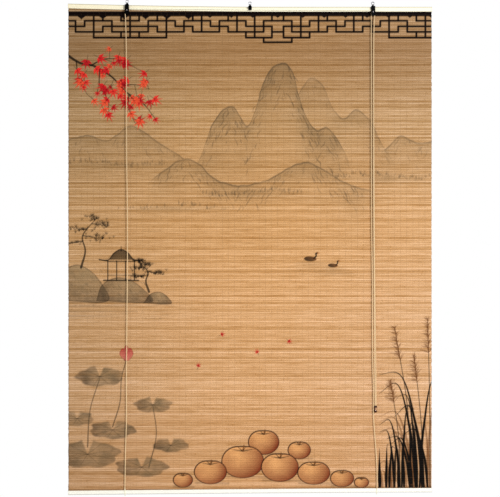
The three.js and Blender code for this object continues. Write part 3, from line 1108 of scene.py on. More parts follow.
@dataclass
class Landscape:
    """A plain ink landscape of hills, water and plants, of no one's design in particular."""

    canvas: InkCanvas
    rng: np.random.Generator = field(default_factory=lambda: np.random.default_rng(11))
    black: Colour = field(default_factory=lambda: paint(14, 9, 6))
    grey: Colour = field(default_factory=lambda: paint(78, 62, 44))
    wash: Colour = field(default_factory=lambda: paint(112, 92, 64))
    brown: Colour = field(default_factory=lambda: paint(112, 66, 30))
    waterline: float = -742.0  # round the islet
    ground: float = -1205.0  # where the reeds grow

    def draw(self) -> None:
        """Draws every motif, the far ones first."""
        self.hills()
        self.banks()
        self.water()
        self.islet()
        self.ducks()
        self.lily_pads()
        self.persimmons()
        self.reeds()
        self.maple()

    def ridge(self, fade: float, cover: float, seed: int, strokes: int, rough: float, crest: Sequence[Point]) -> None:
        """Draws one range of hills: an uneven wash below a crest, its outline and the strokes of its slopes.

        Args:
            fade: how far down the wash goes.
            cover: the wash's density.
            seed: which clouds make it uneven.
            strokes: how many strokes its slopes have.
            rough: how uneven the skyline is.
            crest: points of its skyline from left to right.
        """
        c, rng = self.canvas, self.rng
        line = through(crest, 4.0)
        nowhere = -5000
        uneven = c.clouds(22, seed)[len(c.z) // 2] * 0.7 + c.clouds(9, seed + 1)[len(c.z) // 3] * 0.3 - 0.5
        sky = np.interp(c.x, line[:, 0], line[:, 1], left=nowhere, right=nowhere) + uneven * rough * 2
        depth = sky[None, :] - c.z[:, None]
        inward = np.clip(np.minimum(c.x - crest[0][0], crest[-1][0] - c.x) / 60, 0, 1)
        faint = inward * inward * (3 - 2 * inward)
        solid = np.clip(depth / 2 + 0.5, 0, 1) * faint
        c.lift(solid * 0.94)
        body = solid * np.exp(-np.maximum(depth, 0) / fade)
        patches = c.clouds(34, seed + 2, 1.6)
        c.lay(cover * body * (0.35 + 1.1 * patches), self.wash)
        brush = np.exp(-((depth - 1.5) / 2.2) ** 2) * (0.25 + patches) * faint
        c.lay(cover * 1.5 * brush, self.grey)
        slope = np.gradient(sky, c.x)
        for _ in range(strokes):
            i = int(rng.integers(4, len(c.x) - 4))
            if sky[i] < nowhere + 1000:
                continue
            x, z = c.x[i], sky[i] - rng.random() ** 1.6 * fade * 0.9 - 2
            steep = abs(slope[i]) > 0.05
            lean = math.copysign(rng.uniform(0.25, 0.9), -slope[i]) if steep else rng.uniform(-0.6, 0.6)
            size = rng.uniform(7, 24)
            bend = rng.uniform(-0.25, 0.25)
            path = [(x, z), (x + lean * size * 0.4 + bend * size, z - size * 0.5), (x + lean * size * 0.8, z - size)]
            c.stroke(through(path, 3.0), [0.8, 2.6, 0.8], self.grey, cover * rng.uniform(0.35, 1.2) * faint[i], 1.8)

    def hills(self) -> None:
        """Tall round-topped hills in the middle, and low ones at both sides."""
        self.ridge(60, 0.34, 21, 110, 4.5, (
            (-520, -352), (-400, -330), (-352, -341), (-300, -306), (-262, -322), (-218, -352), (-150, -392),
            (-80, -420),
        ))  # fmt: skip
        self.ridge(62, 0.36, 31, 110, 4.5, (
            (150, -420), (200, -388), (246, -396), (288, -352), (330, -366), (372, -330), (416, -348), (520, -322),
        ))  # fmt: skip
        self.ridge(90, 0.3, 81, 120, 5.0, (
            (40, -400), (92, -300), (128, -214), (152, -186), (176, -198), (206, -262), (232, -286), (262, -262),
            (292, -284), (330, -356), (372, -420),
        ))  # fmt: skip
        self.ridge(120, 0.5, 41, 420, 6.0, (
            (-150, -440), (-118, -372), (-92, -300), (-66, -262), (-44, -256), (-26, -282), (-6, -304), (14, -262),
            (34, -196), (58, -158), (84, -150), (104, -170), (120, -226), (140, -286), (166, -318), (190, -310),
            (222, -346), (262, -430),
        ))  # fmt: skip
        self.ridge(58, 0.42, 51, 220, 4.5, (
            (-260, -452), (-206, -410), (-160, -386), (-128, -398), (-92, -432), (-40, -452), (40, -440),
            (96, -408), (140, -396), (182, -414), (236, -446), (320, -470),
        ))  # fmt: skip

    def banks(self) -> None:
        """Four low banks before the hills, each a row of small trees in mist."""
        c, rng = self.canvas, self.rng
        rows = ((-450, -210, -398, 70), (-120, 130, -470, 90), (210, 450, -430, 80), (-330, -60, -505, 50))
        for left, right, level, trees in rows:
            for _ in range(trees):
                x = rng.uniform(left, right)
                foot = level + 5 * math.sin(x / 37) + rng.uniform(-5, 5)
                tall = rng.uniform(3, 9)
                tip = (x + rng.uniform(-1.5, 1.5), foot + tall)
                c.stroke([(x, foot), tip], [3.5, 1.0], self.grey, rng.uniform(0.12, 0.42), 2.0)
            inward = np.clip(1 - np.abs(c.x[None, :] - (left + right) / 2) / (abs(right - left) * 0.62), 0, 1)
            haze = np.exp(-(((c.z[:, None] - level + 6) / 9) ** 2)) * inward
            c.lay(0.28 * haze * (0.3 + c.clouds(12, 61, 5.0)), self.wash)

    def water(self) -> None:
        """Long still ripples in the middle distance and below."""
        rng = self.rng
        for _ in range(130):
            x, z = rng.uniform(-430, 430), rng.uniform(-1130, -540)
            near = abs(z + 620) < 60
            if rng.random() > (0.9 if near else 0.35):
                continue
            size = rng.uniform(18, 75)
            points = [(x, z), (x + size / 2, z + rng.uniform(-1, 1)), (x + size, z)]
            self.canvas.stroke(points, [0.5, 1.3, 0.5], self.grey, rng.uniform(0.1, 0.26), 1.8)

    def rock(self, seed: int, *outline: Point) -> None:
        """Draws one rock with a light top, a dark foot and short strokes on its face.

        Args:
            seed: which clouds make its ink uneven.
            *outline: its corners, from its foot at the left over its top.
        """
        c, rng = self.canvas, self.rng
        p = np.array(outline, float)
        line = through([*outline, outline[0]], 3.0)
        low, high = p.min(0), p.max(0)
        stone, foot = paint(150, 126, 92), paint(58, 46, 34)
        lit = ((low[0] + high[0]) / 2 + 6, high[1])
        patches = 0.6 + 0.5 * c.clouds(9, seed)
        c.fill(line, stone, 0.75, 2.5, foot, lit, (high[1] - low[1]) * 1.25, patches)
        c.stroke(line, [1.0, 2.4, 1.2, 2.8, 1.0], self.black, 0.6, 2.0)
        for _ in range(int((high[0] - low[0]) * 0.4)):
            x, z = rng.uniform(low[0] + 4, high[0] - 8), rng.uniform(low[1] + 3, high[1] - 4)
            size = rng.uniform(4, 11)
            end = (x + size * 0.6, z - size * 0.7)
            c.stroke([(x, z), end], [0.8, 2.2, 0.6], self.black, rng.uniform(0.15, 0.5), 1.8)

    def pine(self, foot: Point, lean: float, size: float) -> None:
        """Draws a pine with a bent trunk and flat tiers of needles.

        Args:
            foot: where it stands.
            lean: how far its top is to the right of its foot.
            size: its height.
        """
        c, rng = self.canvas, self.rng
        x, z = foot
        bends = [(x, z), (x + lean * 0.3, z + size * 0.35), (x + lean * 0.1, z + size * 0.65), (x + lean, z + size)]
        trunk = through(bends, 3.0)
        c.stroke(trunk, [6.0, 4.0, 3.0, 1.5], self.black, 0.85, 1.6)
        tiers = [(0.5, -0.34, 0.34), (0.62, 0.3, 0.3), (0.78, -0.2, 0.3), (0.9, 0.2, 0.26), (1.02, 0.0, 0.24)]
        for height, side, reach in tiers:
            at = trunk[min(len(trunk) - 1, int(height * len(trunk)))]
            centre = np.array([at[0] + side * size, z + size * height])
            c.stroke([at, centre], [2.6, 1.6], self.black, 0.8, 1.5)
            for _ in range(34):
                start = centre + rng.normal(0, 1, 2) * (reach * size * 0.42, size * 0.035)
                for angle in np.radians([50, 90, 130]):
                    tip = start + 5.5 * np.array([math.cos(angle), math.sin(angle)])
                    c.stroke([start, tip], [1.4, 0.7], self.black, rng.uniform(0.35, 0.8), 1.4)

    def islet(self) -> None:
        """A rocky islet at the left with two pines, a pavilion and a thin reflection."""
        c, rng = self.canvas, self.rng
        for drop, size in ((0, 250), (10, 220), (22, 170), (34, 110)):
            z = self.waterline - drop
            c.stroke([(-450, z), (-450 + size, z)], [5, 3, 0.5], self.grey, 0.3, 4.0)
        self.rock(71, (-460, -738), (-460, -668), (-430, -650), (-396, -664), (-372, -690), (-350, -736))
        self.rock(72, (-380, -738), (-366, -700), (-330, -682), (-292, -690), (-262, -712), (-240, -738))
        self.rock(73, (-262, -744), (-246, -722), (-222, -718), (-204, -730), (-194, -744))
        self.pine((-418, -656), 34, 118)
        self.pine((-250, -716), -26, 74)
        self.pavilion()
        for _ in range(90):
            x = rng.uniform(-455, -200)
            z = self.waterline - rng.random() ** 1.5 * 46
            c.stroke([(x, z), (x + rng.uniform(8, 30), z)], [0.6, 1.8, 0.6], self.grey, rng.uniform(0.1, 0.4), 1.8)

    def pavilion(self) -> None:
        """A small open pavilion on the islet, with a hipped roof."""
        c = self.canvas
        middle, floor, eaves, crown = -319.0, -684.0, -640.0, -612.0
        for x in (-33, -11, 11, 33):
            c.stroke([(middle + x, floor - 4), (middle + x, eaves)], [2.6], self.black, 0.9, 1.4)
        c.stroke([(middle - 43, floor - 4), (middle + 43, floor - 4)], [4.0], self.black, 0.85, 1.5)
        c.stroke([(middle - 33, floor + 9), (middle + 33, floor + 9)], [1.6], self.black, 0.7, 1.4)
        half = [(middle - 53, eaves + 3), (middle - 33, eaves + 2), (middle - 17, crown - 8), (middle - 5, crown)]
        left = through(half, 2.0)
        roof = [*map(tuple, left), *((2 * middle - x, z) for x, z in left[::-1])]
        c.fill(roof, paint(96, 74, 48), 0.85, 1.8, self.black, (middle, eaves), 34)
        c.stroke(roof, [2.6], self.black, 0.9, 1.5)
        eave = [(middle + x, eaves + z) for x, z in ((-55, 4), (-31, -1), (31, -1), (55, 4))]
        c.stroke(eave, [2.2], self.black, 0.9, 1.5)
        for x in range(-41, 43, 7):
            c.stroke([(middle + x, eaves), (middle + x * 0.35, crown - 6)], [1.0], self.black, 0.4, 1.4)
        c.stroke([(middle, crown - 2), (middle, crown + 9)], [3.4, 1.0], self.black, 0.9, 1.5)

    def ducks(self) -> None:
        """Two small ducks at the right of the middle, with their ripples."""
        c = self.canvas
        body = [(-17, 3), (-10, 7), (2, 7), (12, 4), (15, 0), (8, -4), (-8, -4), (-15, -1)]
        outline = through([*body, body[0]], 2.0)
        for x, z, s in ((150, -636, 1.0), (206, -652, 0.8)):
            floating = [(x + u * s, z + v * s) for u, v in outline]
            c.fill(floating, self.black, 0.92, 1.5, self.brown, (x - 10, z - 6), 26 * s)
            neck = [(x + u * s, z + v * s) for u, v in ((9, 3), (14, 9), (13, 14), (17, 16))]
            c.stroke(through(neck, 2.0), [4.2 * s, 3.4 * s, 4.6 * s], self.black, 0.95, 1.4)
            bill = [(x + 17 * s, z + 16 * s), (x + 22 * s, z + 15 * s)]
            c.stroke(bill, [2.2, 1.0], paint(190, 110, 50), 0.95, 1.3)
            for i in range(6):
                half = (30 + 9 * i) * s
                drop = z - (6 + 4.5 * i) * s
                ripple = [(x - half, drop), (x, drop - 1.5), (x + half, drop)]
                c.stroke(ripple, [0.5, 1.6, 0.5], self.grey, 0.5 - 0.06 * i, 1.6)

    def lily_pads(self) -> None:
        """Soft grey lily pads at the lower left, with stems and one closed bud."""
        c = self.canvas
        stems = (
            [(-402, -1100), (-396, -1010), (-372, -930)],
            [(-340, -1050), (-322, -990), (-318, -930), (-306, -884)],
            [(-250, -1150), (-232, -1070), (-240, -1000)],
        )
        for stem in stems:
            c.stroke(through(stem, 4.0), [3.4, 2.4, 2.2], self.grey, 0.75, 1.6)
        pads = (
            (-402, -1118, 78, 34), (-268, -1150, 64, 24), (-340, -1058, 56, 22), (-196, -1096, 44, 17),
            (-428, -1030, 40, 18), (-372, -926, 58, 24), (-240, -996, 46, 19),
        )  # fmt: skip
        pale, dark = paint(108, 92, 66), paint(38, 32, 24)
        for i, (x, z, a, b) in enumerate(pads):
            angles = np.radians(np.linspace(100, 440, 34))
            wave = 1 + 0.07 * np.sin(angles * 5 + i) + 0.05 * np.sin(angles * 9 + 2 * i)
            rim = [(x, z), *zip(x + a * wave * np.cos(angles), z + b * wave * np.sin(angles))]
            patches = 0.35 + 0.9 * c.clouds(15, 80 + i, 1.5)
            c.fill(rim, pale, 0.72, 4.0, dark, (x + a * 0.2, z + b * 0.4), a * 1.05, patches)
            for angle in angles[3:-2:4]:
                c.stroke([(x, z), around(x, z, a * 0.85, b * 0.85, angle)], [1.6, 0.8], self.black, 0.4, 1.5)
        x, z = -306, -886
        for lean, reach in ((-9, 30), (0, 38), (9, 31)):
            left, right = (x + lean - 8, z + reach * 0.55), (x + lean + 8, z + reach * 0.55)
            petal = through([(x - 5, z), left, (x + lean, z + reach), right, (x + 5, z), (x - 5, z)], 2.0)
            c.fill(petal, paint(214, 120, 104), 0.85, 1.6, paint(176, 40, 44), (x, z), reach)
            c.stroke(petal, [0.9], self.brown, 0.6, 1.3)

    def persimmons(self) -> None:
        """A row of ripe persimmons along the bottom, with dark outlines and light tops."""
        c = self.canvas
        fruits = (
            (-18, -1136, 52, 41), (74, -1150, 46, 36), (34, -1088, 38, 31), (158, -1164, 40, 29),
            (-98, -1162, 40, 30), (228, -1178, 29, 21), (122, -1108, 28, 22), (-166, -1182, 24, 18),
            (276, -1188, 18, 13),
        )  # fmt: skip
        light, dark, bruise, rind = paint(240, 176, 112), paint(128, 48, 22), paint(96, 30, 14), paint(40, 12, 6)
        for x, z, a, b in sorted(fruits, key=lambda fruit: fruit[1], reverse=True):
            angles = np.radians(np.arange(0, 360, 12))
            dent = 1 - 0.1 * np.exp(-(((np.degrees(angles) - 90) / 24) ** 2))
            rim = list(zip(x + a * np.cos(angles) * dent, z + b * np.sin(angles) * dent))
            shadow = [(x - a * 0.9, z - b * 0.9), (x + a * 1.1, z - b * 0.95)]
            c.stroke(shadow, [4, 9, 3], self.black, 0.4, 6.0)
            c.fill(rim, light, 0.98, 1.6, dark, (x - a * 0.25, z + b * 0.45), a * 1.3)
            flesh = [(x + (u - x) * 0.94 + a * 0.04, z + (v - z) * 0.9 - b * 0.06) for u, v in rim]
            c.fill(flesh, bruise, 0.34, 9.0, patches=c.clouds(14, 91))
            c.stroke([*rim, rim[0]], [1.6, 3.4, 2.8, 1.4, 1.8], rind, 0.92, 1.5)
            crown = z + b * 0.62
            for lobe in (25, 75, 115, 160):
                tip = around(x, crown, 0.52 * a, 0.26 * b, math.radians(lobe))
                c.stroke([(x, crown), tip], [3.0, 5.0, 0.8], self.black, 0.9, 1.4)
            c.stroke([(x, crown), (x + 3, z + b * 0.98)], [3.0, 2.2], self.brown, 0.95, 1.4)

    def reeds(self) -> None:
        """Arching reed blades and plumes from the lower right corner, brown ones behind black ones."""
        c, rng, foot = self.canvas, self.rng, self.ground
        left = 318
        for shade, cover, count, height in ((self.brown, 0.62, 15, 250), (self.black, 1.0, 20, 330)):
            for _ in range(count):
                x = rng.uniform(left, 448)
                rise = height * rng.uniform(0.4, 1.0) * (0.35 + 0.65 * (x - left) / 130)
                lean = max(rng.uniform(-0.8, 0.35) * rise * 0.75, left + 2 - x)
                droop = rng.uniform(0.0, 0.45) * rise * abs(lean) / rise
                low, high = (x + lean * 0.15, foot + rise * 0.55), (x + lean * 0.55, foot + rise)
                blade = through([(x, foot), low, high, (x + lean, foot + rise - droop)], 6.0)
                c.stroke(blade, [4.5, 7.5, 6.0, 3.5, 0.6], shade, cover, 1.4)
        for x, lean, rise in ((398, -40, 400), (428, -22, 330), (446, -6, 420), (372, -24, 268)):
            stalk = through([(x, foot), (x + lean * 0.2, foot + rise * 0.5), (x + lean, foot + rise)], 4.0)
            c.stroke(stalk, [3.0, 2.2, 1.4], self.black, 0.9, 1.4)
            for t in np.linspace(0.8, 1.0, 26):
                at = stalk[min(len(stalk) - 1, int(t * len(stalk)))]
                for _ in range(3):
                    angle = math.radians(rng.uniform(20, 160) + (25 if lean < 0 else -25))
                    size = rng.uniform(8, 22) * (1.25 - (t - 0.8) * 3)
                    tip = (at[0] + size * math.cos(angle), at[1] + size * math.sin(angle) * 0.75)
                    c.stroke([at, tip], [1.6, 0.6], self.brown, 0.75, 1.4)

    def leaf(self, x: float, z: float, size: float, turn: float, colour: Colour) -> None:
        """Draws one five-lobed leaf with its stalk and veins.

        Args:
            x: where its lobes meet, across.
            z: the height of that place.
            size: how long its middle lobe is.
            turn: the way that this lobe points, in radians from the right.
            colour: its ink.
        """
        c = self.canvas
        lobes = (
            (-76, 0.62), (-52, 0.26), (-38, 0.9), (-18, 0.32), (0, 1.0), (18, 0.32),
            (38, 0.9), (52, 0.26), (76, 0.62), (128, 0.3), (180, 0.16), (232, 0.3),
        )  # fmt: skip
        c.fill([around(x, z, size * r, size * r, math.radians(a) + turn) for a, r in lobes], colour, 0.96, 1.3)
        for a in (-76, -38, 0, 38, 76):
            reach = size * (0.9 if a == 0 else 0.7)
            tip = around(x, z, reach, reach, math.radians(a) + turn)
            c.stroke([(x, z), tip], [1.0, 0.5], paint(110, 10, 14), 0.6, 1.2)
        c.stroke([(x, z), around(x, z, -size * 0.7, -size * 0.7, turn)], [1.2, 0.9], self.black, 0.8, 1.2)

    def maple(self) -> None:
        """A maple spray from the upper left, and a few fallen leaves on the water."""
        c, rng = self.canvas, self.rng
        reds = [paint(214, 26, 34), paint(232, 48, 40), paint(190, 18, 30), paint(238, 84, 52)]
        main = [(-456, -128), (-420, -150), (-384, -158), (-340, -186), (-306, -222), (-268, -246), (-236, -286)]
        twigs = (
            (main, [7, 5, 4, 2.5, 1]),
            ([(-394, -156), (-360, -140), (-322, -142), (-286, -160)], [3.5, 2.2, 1]),
            ([(-372, -166), (-372, -206), (-352, -242), (-350, -282)], [3, 2, 0.9]),
            ([(-322, -206), (-282, -204), (-250, -214)], [2.4, 1.5, 0.8]),
            ([(-430, -146), (-424, -190), (-404, -226)], [3, 1.8, 0.9]),
            ([(-300, -228), (-300, -262), (-284, -300)], [2.2, 1.4, 0.8]),
        )
        for points, widths in twigs:
            line = through(points, 4.0)
            c.stroke(line, widths, self.black, 0.92, 1.5)
            for t in np.linspace(0.25, 1.0, max(5, len(line) // 3)):
                at = line[min(len(line) - 1, int(t * (len(line) - 1)))]
                x, z = at + rng.normal(0, 12, 2)
                size = rng.uniform(13, 25)
                c.stroke([at, (x, z)], [1.2], self.black, 0.8, 1.3)
                turn = math.radians(rng.uniform(-150, -10))
                self.leaf(x, z, size, turn, reds[int(rng.integers(len(reds)))])
        for x, z, turn in ((-70, -822, 0.4), (18, -866, 2.1), (96, -838, -0.7), (-128, -900, 1.3)):
            self.leaf(x, z, 11, turn, reds[int(rng.integers(len(reds)))])
            c.stroke([(x - 16, z - 7), (x + 18, z - 7)], [0.5, 1.6, 0.5], self.grey, 0.4, 1.6)


# ---------------------------------------------------------------- the woven panel


@dataclass
class WovenPanel:
    """Thin bamboo slats one under another, joined by pairs of warp threads, with a print on the front."""

    half: float = 450.0  # half its width
    top: float = -13.3
    pitch: float = 4.5
    slats: int = 266
    bands: int = 4  # pieces that the slats are shared out to
    front: float = 1.62  # how far back a slat's front is
    shoulder: float = 2.05  # how far back its rounded edges end
    back: float = 3.0  # how far back its flat back is
    reach: float = 2.29  # half its height
    flat_back: float = 0.86  # the height of its back, as a share of its own
    ragged: float = 0.9  # how far its ends may stand in
    tilted: float = 1.6  # how far it may be tilted, in degrees
    rise: float = 0.02  # how far it waves up and down
    rise_length: float = 90.0
    swing: float = 0.08  # how far it waves to the front and back
    swing_length: float = 130.0
    threads: int = 58
    thread_pitch: float = 15.2
    thread_radius: float = 0.3
    thread_gap: float = 0.2  # how far a thread's middle stands off the slats
    strand_gap: float = 0.35  # how far apart the two threads of a pair are
    wander: float = 1.6  # how far a thread strays from its line
    grid: float = 1.0  # how fine the print is
    print_end: float = -1201.1
    tolerance: float = 0.03  # how far a slat's ink may be off between two points
    longest: int = 70  # how far apart two points of a slat may be
    rng: np.random.Generator = field(default_factory=lambda: np.random.default_rng(5))

    def bottom(self) -> float:
        """The height of the panel's lower edge."""
        return self.top - self.pitch * self.slats

    def build(self) -> list[bpy.types.Object]:
        """Makes the print, the bands of slats and the warp threads.

        Returns:
            The pieces, from the top band down.
        """
        canvas = InkCanvas(self.half, self.top, self.bottom(), self.grid)
        Landscape(canvas).draw()
        canvas.ink[canvas.z < self.print_end] = 0
        Border().draw(canvas)
        finish = BambooFinish(self.top, self.pitch).material()
        stations = [self._stations(canvas, slat) for slat in range(self.slats)]
        load = np.cumsum([len(columns) for columns in stations])
        shares = load[-1] / self.bands * np.arange(1, self.bands)
        ends = [int(end) + 1 for end in np.searchsorted(load, shares - 1)]
        bands = zip((0, *ends), (*ends, self.slats))
        pieces = [self._band(i + 1, span, stations, canvas, finish) for i, span in enumerate(bands)]
        return [*pieces, self._warp(canvas)]

    def _middle(self, slat: int) -> float:
        """The height of a slat's middle."""
        return self.top - self.pitch * (slat + 0.5)

    def _stations(self, canvas: InkCanvas, slat: int) -> np.ndarray:
        """Finds where a slat needs a point, so that its ink is right between them.

        Args:
            canvas: the print.
            slat: the slat's number from the top.

        Returns:
            The columns of the canvas.
        """
        z = self._middle(slat)
        rows = [canvas.sample(canvas.x, np.full(len(canvas.x), z + dz)) for dz in self.reach * np.linspace(1, -1, 5)]
        values = np.hstack(rows)
        keep = {0, len(canvas.x) - 1}
        spans = [(0, len(canvas.x) - 1)]
        while spans:
            a, b = spans.pop()
            if b - a < 2:
                continue
            t = np.linspace(0, 1, b - a + 1)[:, None]
            error = np.abs(values[a : b + 1] - (values[a] * (1 - t) + values[b] * t)).max(1)
            worst = int(error.argmax())
            if error[worst] < self.tolerance:
                if b - a <= self.longest:
                    continue
                worst = (b - a) // 2
            keep.add(a + worst)
            spans += [(a, a + worst), (a + worst, b)]
        return np.array(sorted(keep))

    def _band(
        self,
        band: int,
        span: tuple[int, int],
        stations: list[np.ndarray],
        canvas: InkCanvas,
        finish: bpy.types.Material,
    ) -> bpy.types.Object:
        """Makes a band of slats as one piece.

        Args:
            band: the band's number from the top.
            span: its first slat and the slat after its last.
            stations: for each slat, the columns of the canvas where it has a point.
            canvas: the print.
            finish: the material.

        Returns:
            The piece, with the print in its attribute ink.
        """
        first, last = span
        guide = Guide()
        last_tone = 0.0
        middle = (self.front + self.back) / 2
        for slat in range(first, last):
            x = canvas.x[stations[slat]].copy()
            x[0], x[-1] = (-1, 1) * (self.half - self.rng.uniform(0.0, self.ragged, 2))
            turn = self.rng.uniform(-1, 1, 3)
            z = self._middle(slat) + self.rise * turn[0] * np.sin(x / self.rise_length + 3 * turn[1])
            y = middle + self.swing * turn[2] * np.sin(x / self.swing_length + 5 * turn[0])
            line = np.stack([x, y, z], axis=1) * MM
            fresh = np.clip(self.rng.normal(0, 0.5), -1.3, 1.3)
            tilt = math.radians(self.rng.uniform(-self.tilted, self.tilted))
            guide.add(line, tilt=tilt, scale=1.0, tone=fresh - 0.3 * last_tone, seed=self.rng.random())
            last_tone = fresh
        lift, waist, foot = (v - middle for v in (self.front, self.shoulder, self.back))
        quarter = lift + (waist - lift) / 4
        upper = [(quarter, self.reach / 2), (waist, self.reach), (foot, self.reach * self.flat_back)]
        section = -np.array([(lift, 0.0), *upper, *((y, -z) for y, z in upper[::-1])]) * MM
        piece = swept(f"slats_{band}", guide, section, finish, Facing.FRONT)
        self._print(piece.data, canvas)
        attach(piece, "root")
        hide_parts("woven_panel")
        flat = (2 * self.half * MM, (last - first) * self.pitch * MM)
        return piece

    def _print(self, mesh: bpy.types.Mesh, canvas: InkCanvas) -> None:
        """Puts the print on what of a mesh is at the front, as its attribute ink.

        Args:
            mesh: the mesh.
            canvas: the print.
        """
        places = vertices(mesh) / MM
        front = places[:, 1] < self.shoulder + 0.4
        ink = canvas.sample(places[:, 0], places[:, 2]) * front[:, None]
        mesh.attributes.new("ink", "FLOAT_COLOR", "POINT").data.foreach_set("color", ink.astype(np.float32).ravel())

    def _warp(self, canvas: InkCanvas) -> bpy.types.Object:
        """Makes the warp: pairs of threads that pass in front of and behind slat after slat.

        Args:
            canvas: the print.

        Returns:
            The piece, with the print in its attribute ink.
        """
        lengths = {
            "Slat pitch": self.pitch,
            "Top slat": self._middle(0),
            "Thread pitch": self.thread_pitch,
            "First thread": -self.thread_pitch * (self.threads - 1) / 2,
            "In front": self.front - self.thread_gap,
            "Behind": self.back + self.thread_gap,
            "Radius": self.thread_radius,
            "Wander": self.wander,
        }
        make = NodeModifier(
            "warp_threads",
            {
                "Slats": ("NodeSocketInt", self.slats),
                "Threads": ("NodeSocketInt", self.threads),
                **{label: ("NodeSocketFloat", length * MM) for label, length in lengths.items()},
                "Finish": ("NodeSocketMaterial", ThreadFinish().material()),
            },
        )
        tree, given = make.tree, make.given
        odd = tree.out("GeometryNodeInputIndex") % 2
        strands = []
        for turn, aside in ((odd, 0.0), (1 - odd, self.strand_gap * MM)):
            line = self._row(tree, 2, given("Slats"), given("Top slat"), 0 - given("Slat pitch"))
            depth = given("In front") + (given("Behind") - given("In front")) * turn
            shift = tree.out("ShaderNodeCombineXYZ", None, {0: aside, 1: depth})
            strands.append(tree.out("GeometryNodeSetPosition", None, {"Geometry": line, "Offset": shift}))
        pair = tree.node("GeometryNodeJoinGeometry")
        for strand in strands:
            tree.data.links.new(strand.output, pair.inputs[0])
        places = self._row(tree, 0, given("Threads"), given("First thread"), given("Thread pitch"))
        inputs = {"Points": places, "Instance": Socket(tree, pair.outputs[0])}
        warp = tree.out("GeometryNodeInstanceOnPoints", None, inputs)
        real = tree.out("GeometryNodeRealizeInstances", None, {"Geometry": warp})
        spot = tree.out("GeometryNodeInputPosition")
        stretched = tree.out("ShaderNodeVectorMath", {"operation": "MULTIPLY"}, {0: spot, 1: (60.0, 0.0, 7.0)})
        wander = tree.out("ShaderNodeTexNoise", None, {"Vector": stretched, "Scale": 1.0}) - 0.5
        moved = tree.out("ShaderNodeCombineXYZ", None, {0: wander * given("Wander")})
        placed = tree.out("GeometryNodeSetPosition", None, {"Geometry": real, "Offset": moved})
        lines = tree.out("GeometryNodeMeshToCurve", None, {"Mesh": placed})
        ring = tree.out("GeometryNodeCurvePrimitiveCircle", None, {"Resolution": 3, "Radius": given("Radius")})
        tube = tree.out("GeometryNodeCurveToMesh", None, {"Curve": lines, "Profile Curve": ring})
        smooth = tree.out("GeometryNodeSetShadeSmooth", None, {"Geometry": tube})
        piece = make.run(new_object("warp_threads", bpy.data.meshes.new("warp_threads")), smooth, "Finish")
        self._print(piece.data, canvas)
        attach(piece, "root")
        return piece

    @staticmethod
    def _row(tree: Tree, axis: int, count: Socket, first: Socket, step: Socket) -> Socket:
        """Adds a row of points along an axis.

        Args:
            tree: the tree that it goes in.
            axis: 0 for X, 1 for Y and 2 for Z.
            count: how many points it has.
            first: where its first point is.
            step: how far apart the points are.

        Returns:
            The row, as a mesh of edges.
        """
        start, offset = (tree.out("ShaderNodeCombineXYZ", None, {axis: value}) for value in (first, step))
        inputs = {"Count": count, "Start Location": start, "Offset": offset}
        return tree.out("GeometryNodeMeshLine", {"mode": "OFFSET"}, inputs)


# ---------------------------------------------------------------- rails and hangers


def dress(frame: dict, node: str, finish: bpy.types.Material) -> bpy.types.Object:
    """Puts a finish on a CAD solid that stays as it is.

    Args:
        node: the solid's name.
        finish: the material.

    Returns:
        The piece.
    """
    piece = frame["nodes"][node]
    for holder in piece.material_slots:
        holder.material = finish
    return piece


@dataclass
class Rails:
    """The battens along the upper and lower edges of the panel, which are the CAD solids in their paint."""

    # each rail has a painted shade line along one rounded edge: the headrail at its top, the bottom rail at its foot
    headrail: BattenFinish = BattenFinish("headrail", HEADRAIL_FOOT, HEADRAIL_BOW, (9.4, 12.7), 0.9)
    bottom_rail: BattenFinish = BattenFinish(
        name="bottom_rail",
        foot=BOTTOM_RAIL_FOOT,
        bow=BOTTOM_RAIL_BOW,
        line=(-0.4, 2.6),
        strength=0.8,
        body=(255, 254, 243),
        warm=(253, 248, 228),
        edge=(206, 203, 194),
    )

    def dress(self, frame: dict) -> list[bpy.types.Object]:
        """Gives both rails their cream paint."""
        return [dress(frame, finish.name, finish.material()) for finish in (self.headrail, self.bottom_rail)]


@dataclass
class Hangers:
    """The three clips over the headrail with their rings, and the wheels and rivets of the outer two."""

    sides: tuple[str, ...] = ("left", "middle", "right")
    wheeled: tuple[str, ...] = ("left", "right")
    zinc: ZincFinish = ZincFinish()
    tarnished: ZincFinish = ZincFinish("tarnished_rivet", (0.2, 0.18, 0.19, 1.0), (0.08, 0.07, 0.07, 1.0))
    enamel: EnamelFinish = EnamelFinish()
    nylon: EnamelFinish = EnamelFinish("black_nylon", 0.45, 0.0)

    def dress(self, frame: dict) -> list[bpy.types.Object]:
        """Gives the clips, rings, wheels and rivets their finishes.


        Returns:
            The pieces.
        """
        parts = (
            ("clip_", self.sides, self.enamel),
            ("eye_", self.sides, self.zinc),
            ("wheel_", self.wheeled, self.nylon),
            ("rivet_", self.wheeled, self.tarnished),
        )
        pieces = []
        for name, sides, finish in parts:
            material = finish.material()
            pieces += [dress(frame, name + side, material) for side in sides]
        return pieces


# ---------------------------------------------------------------- cords and toggle


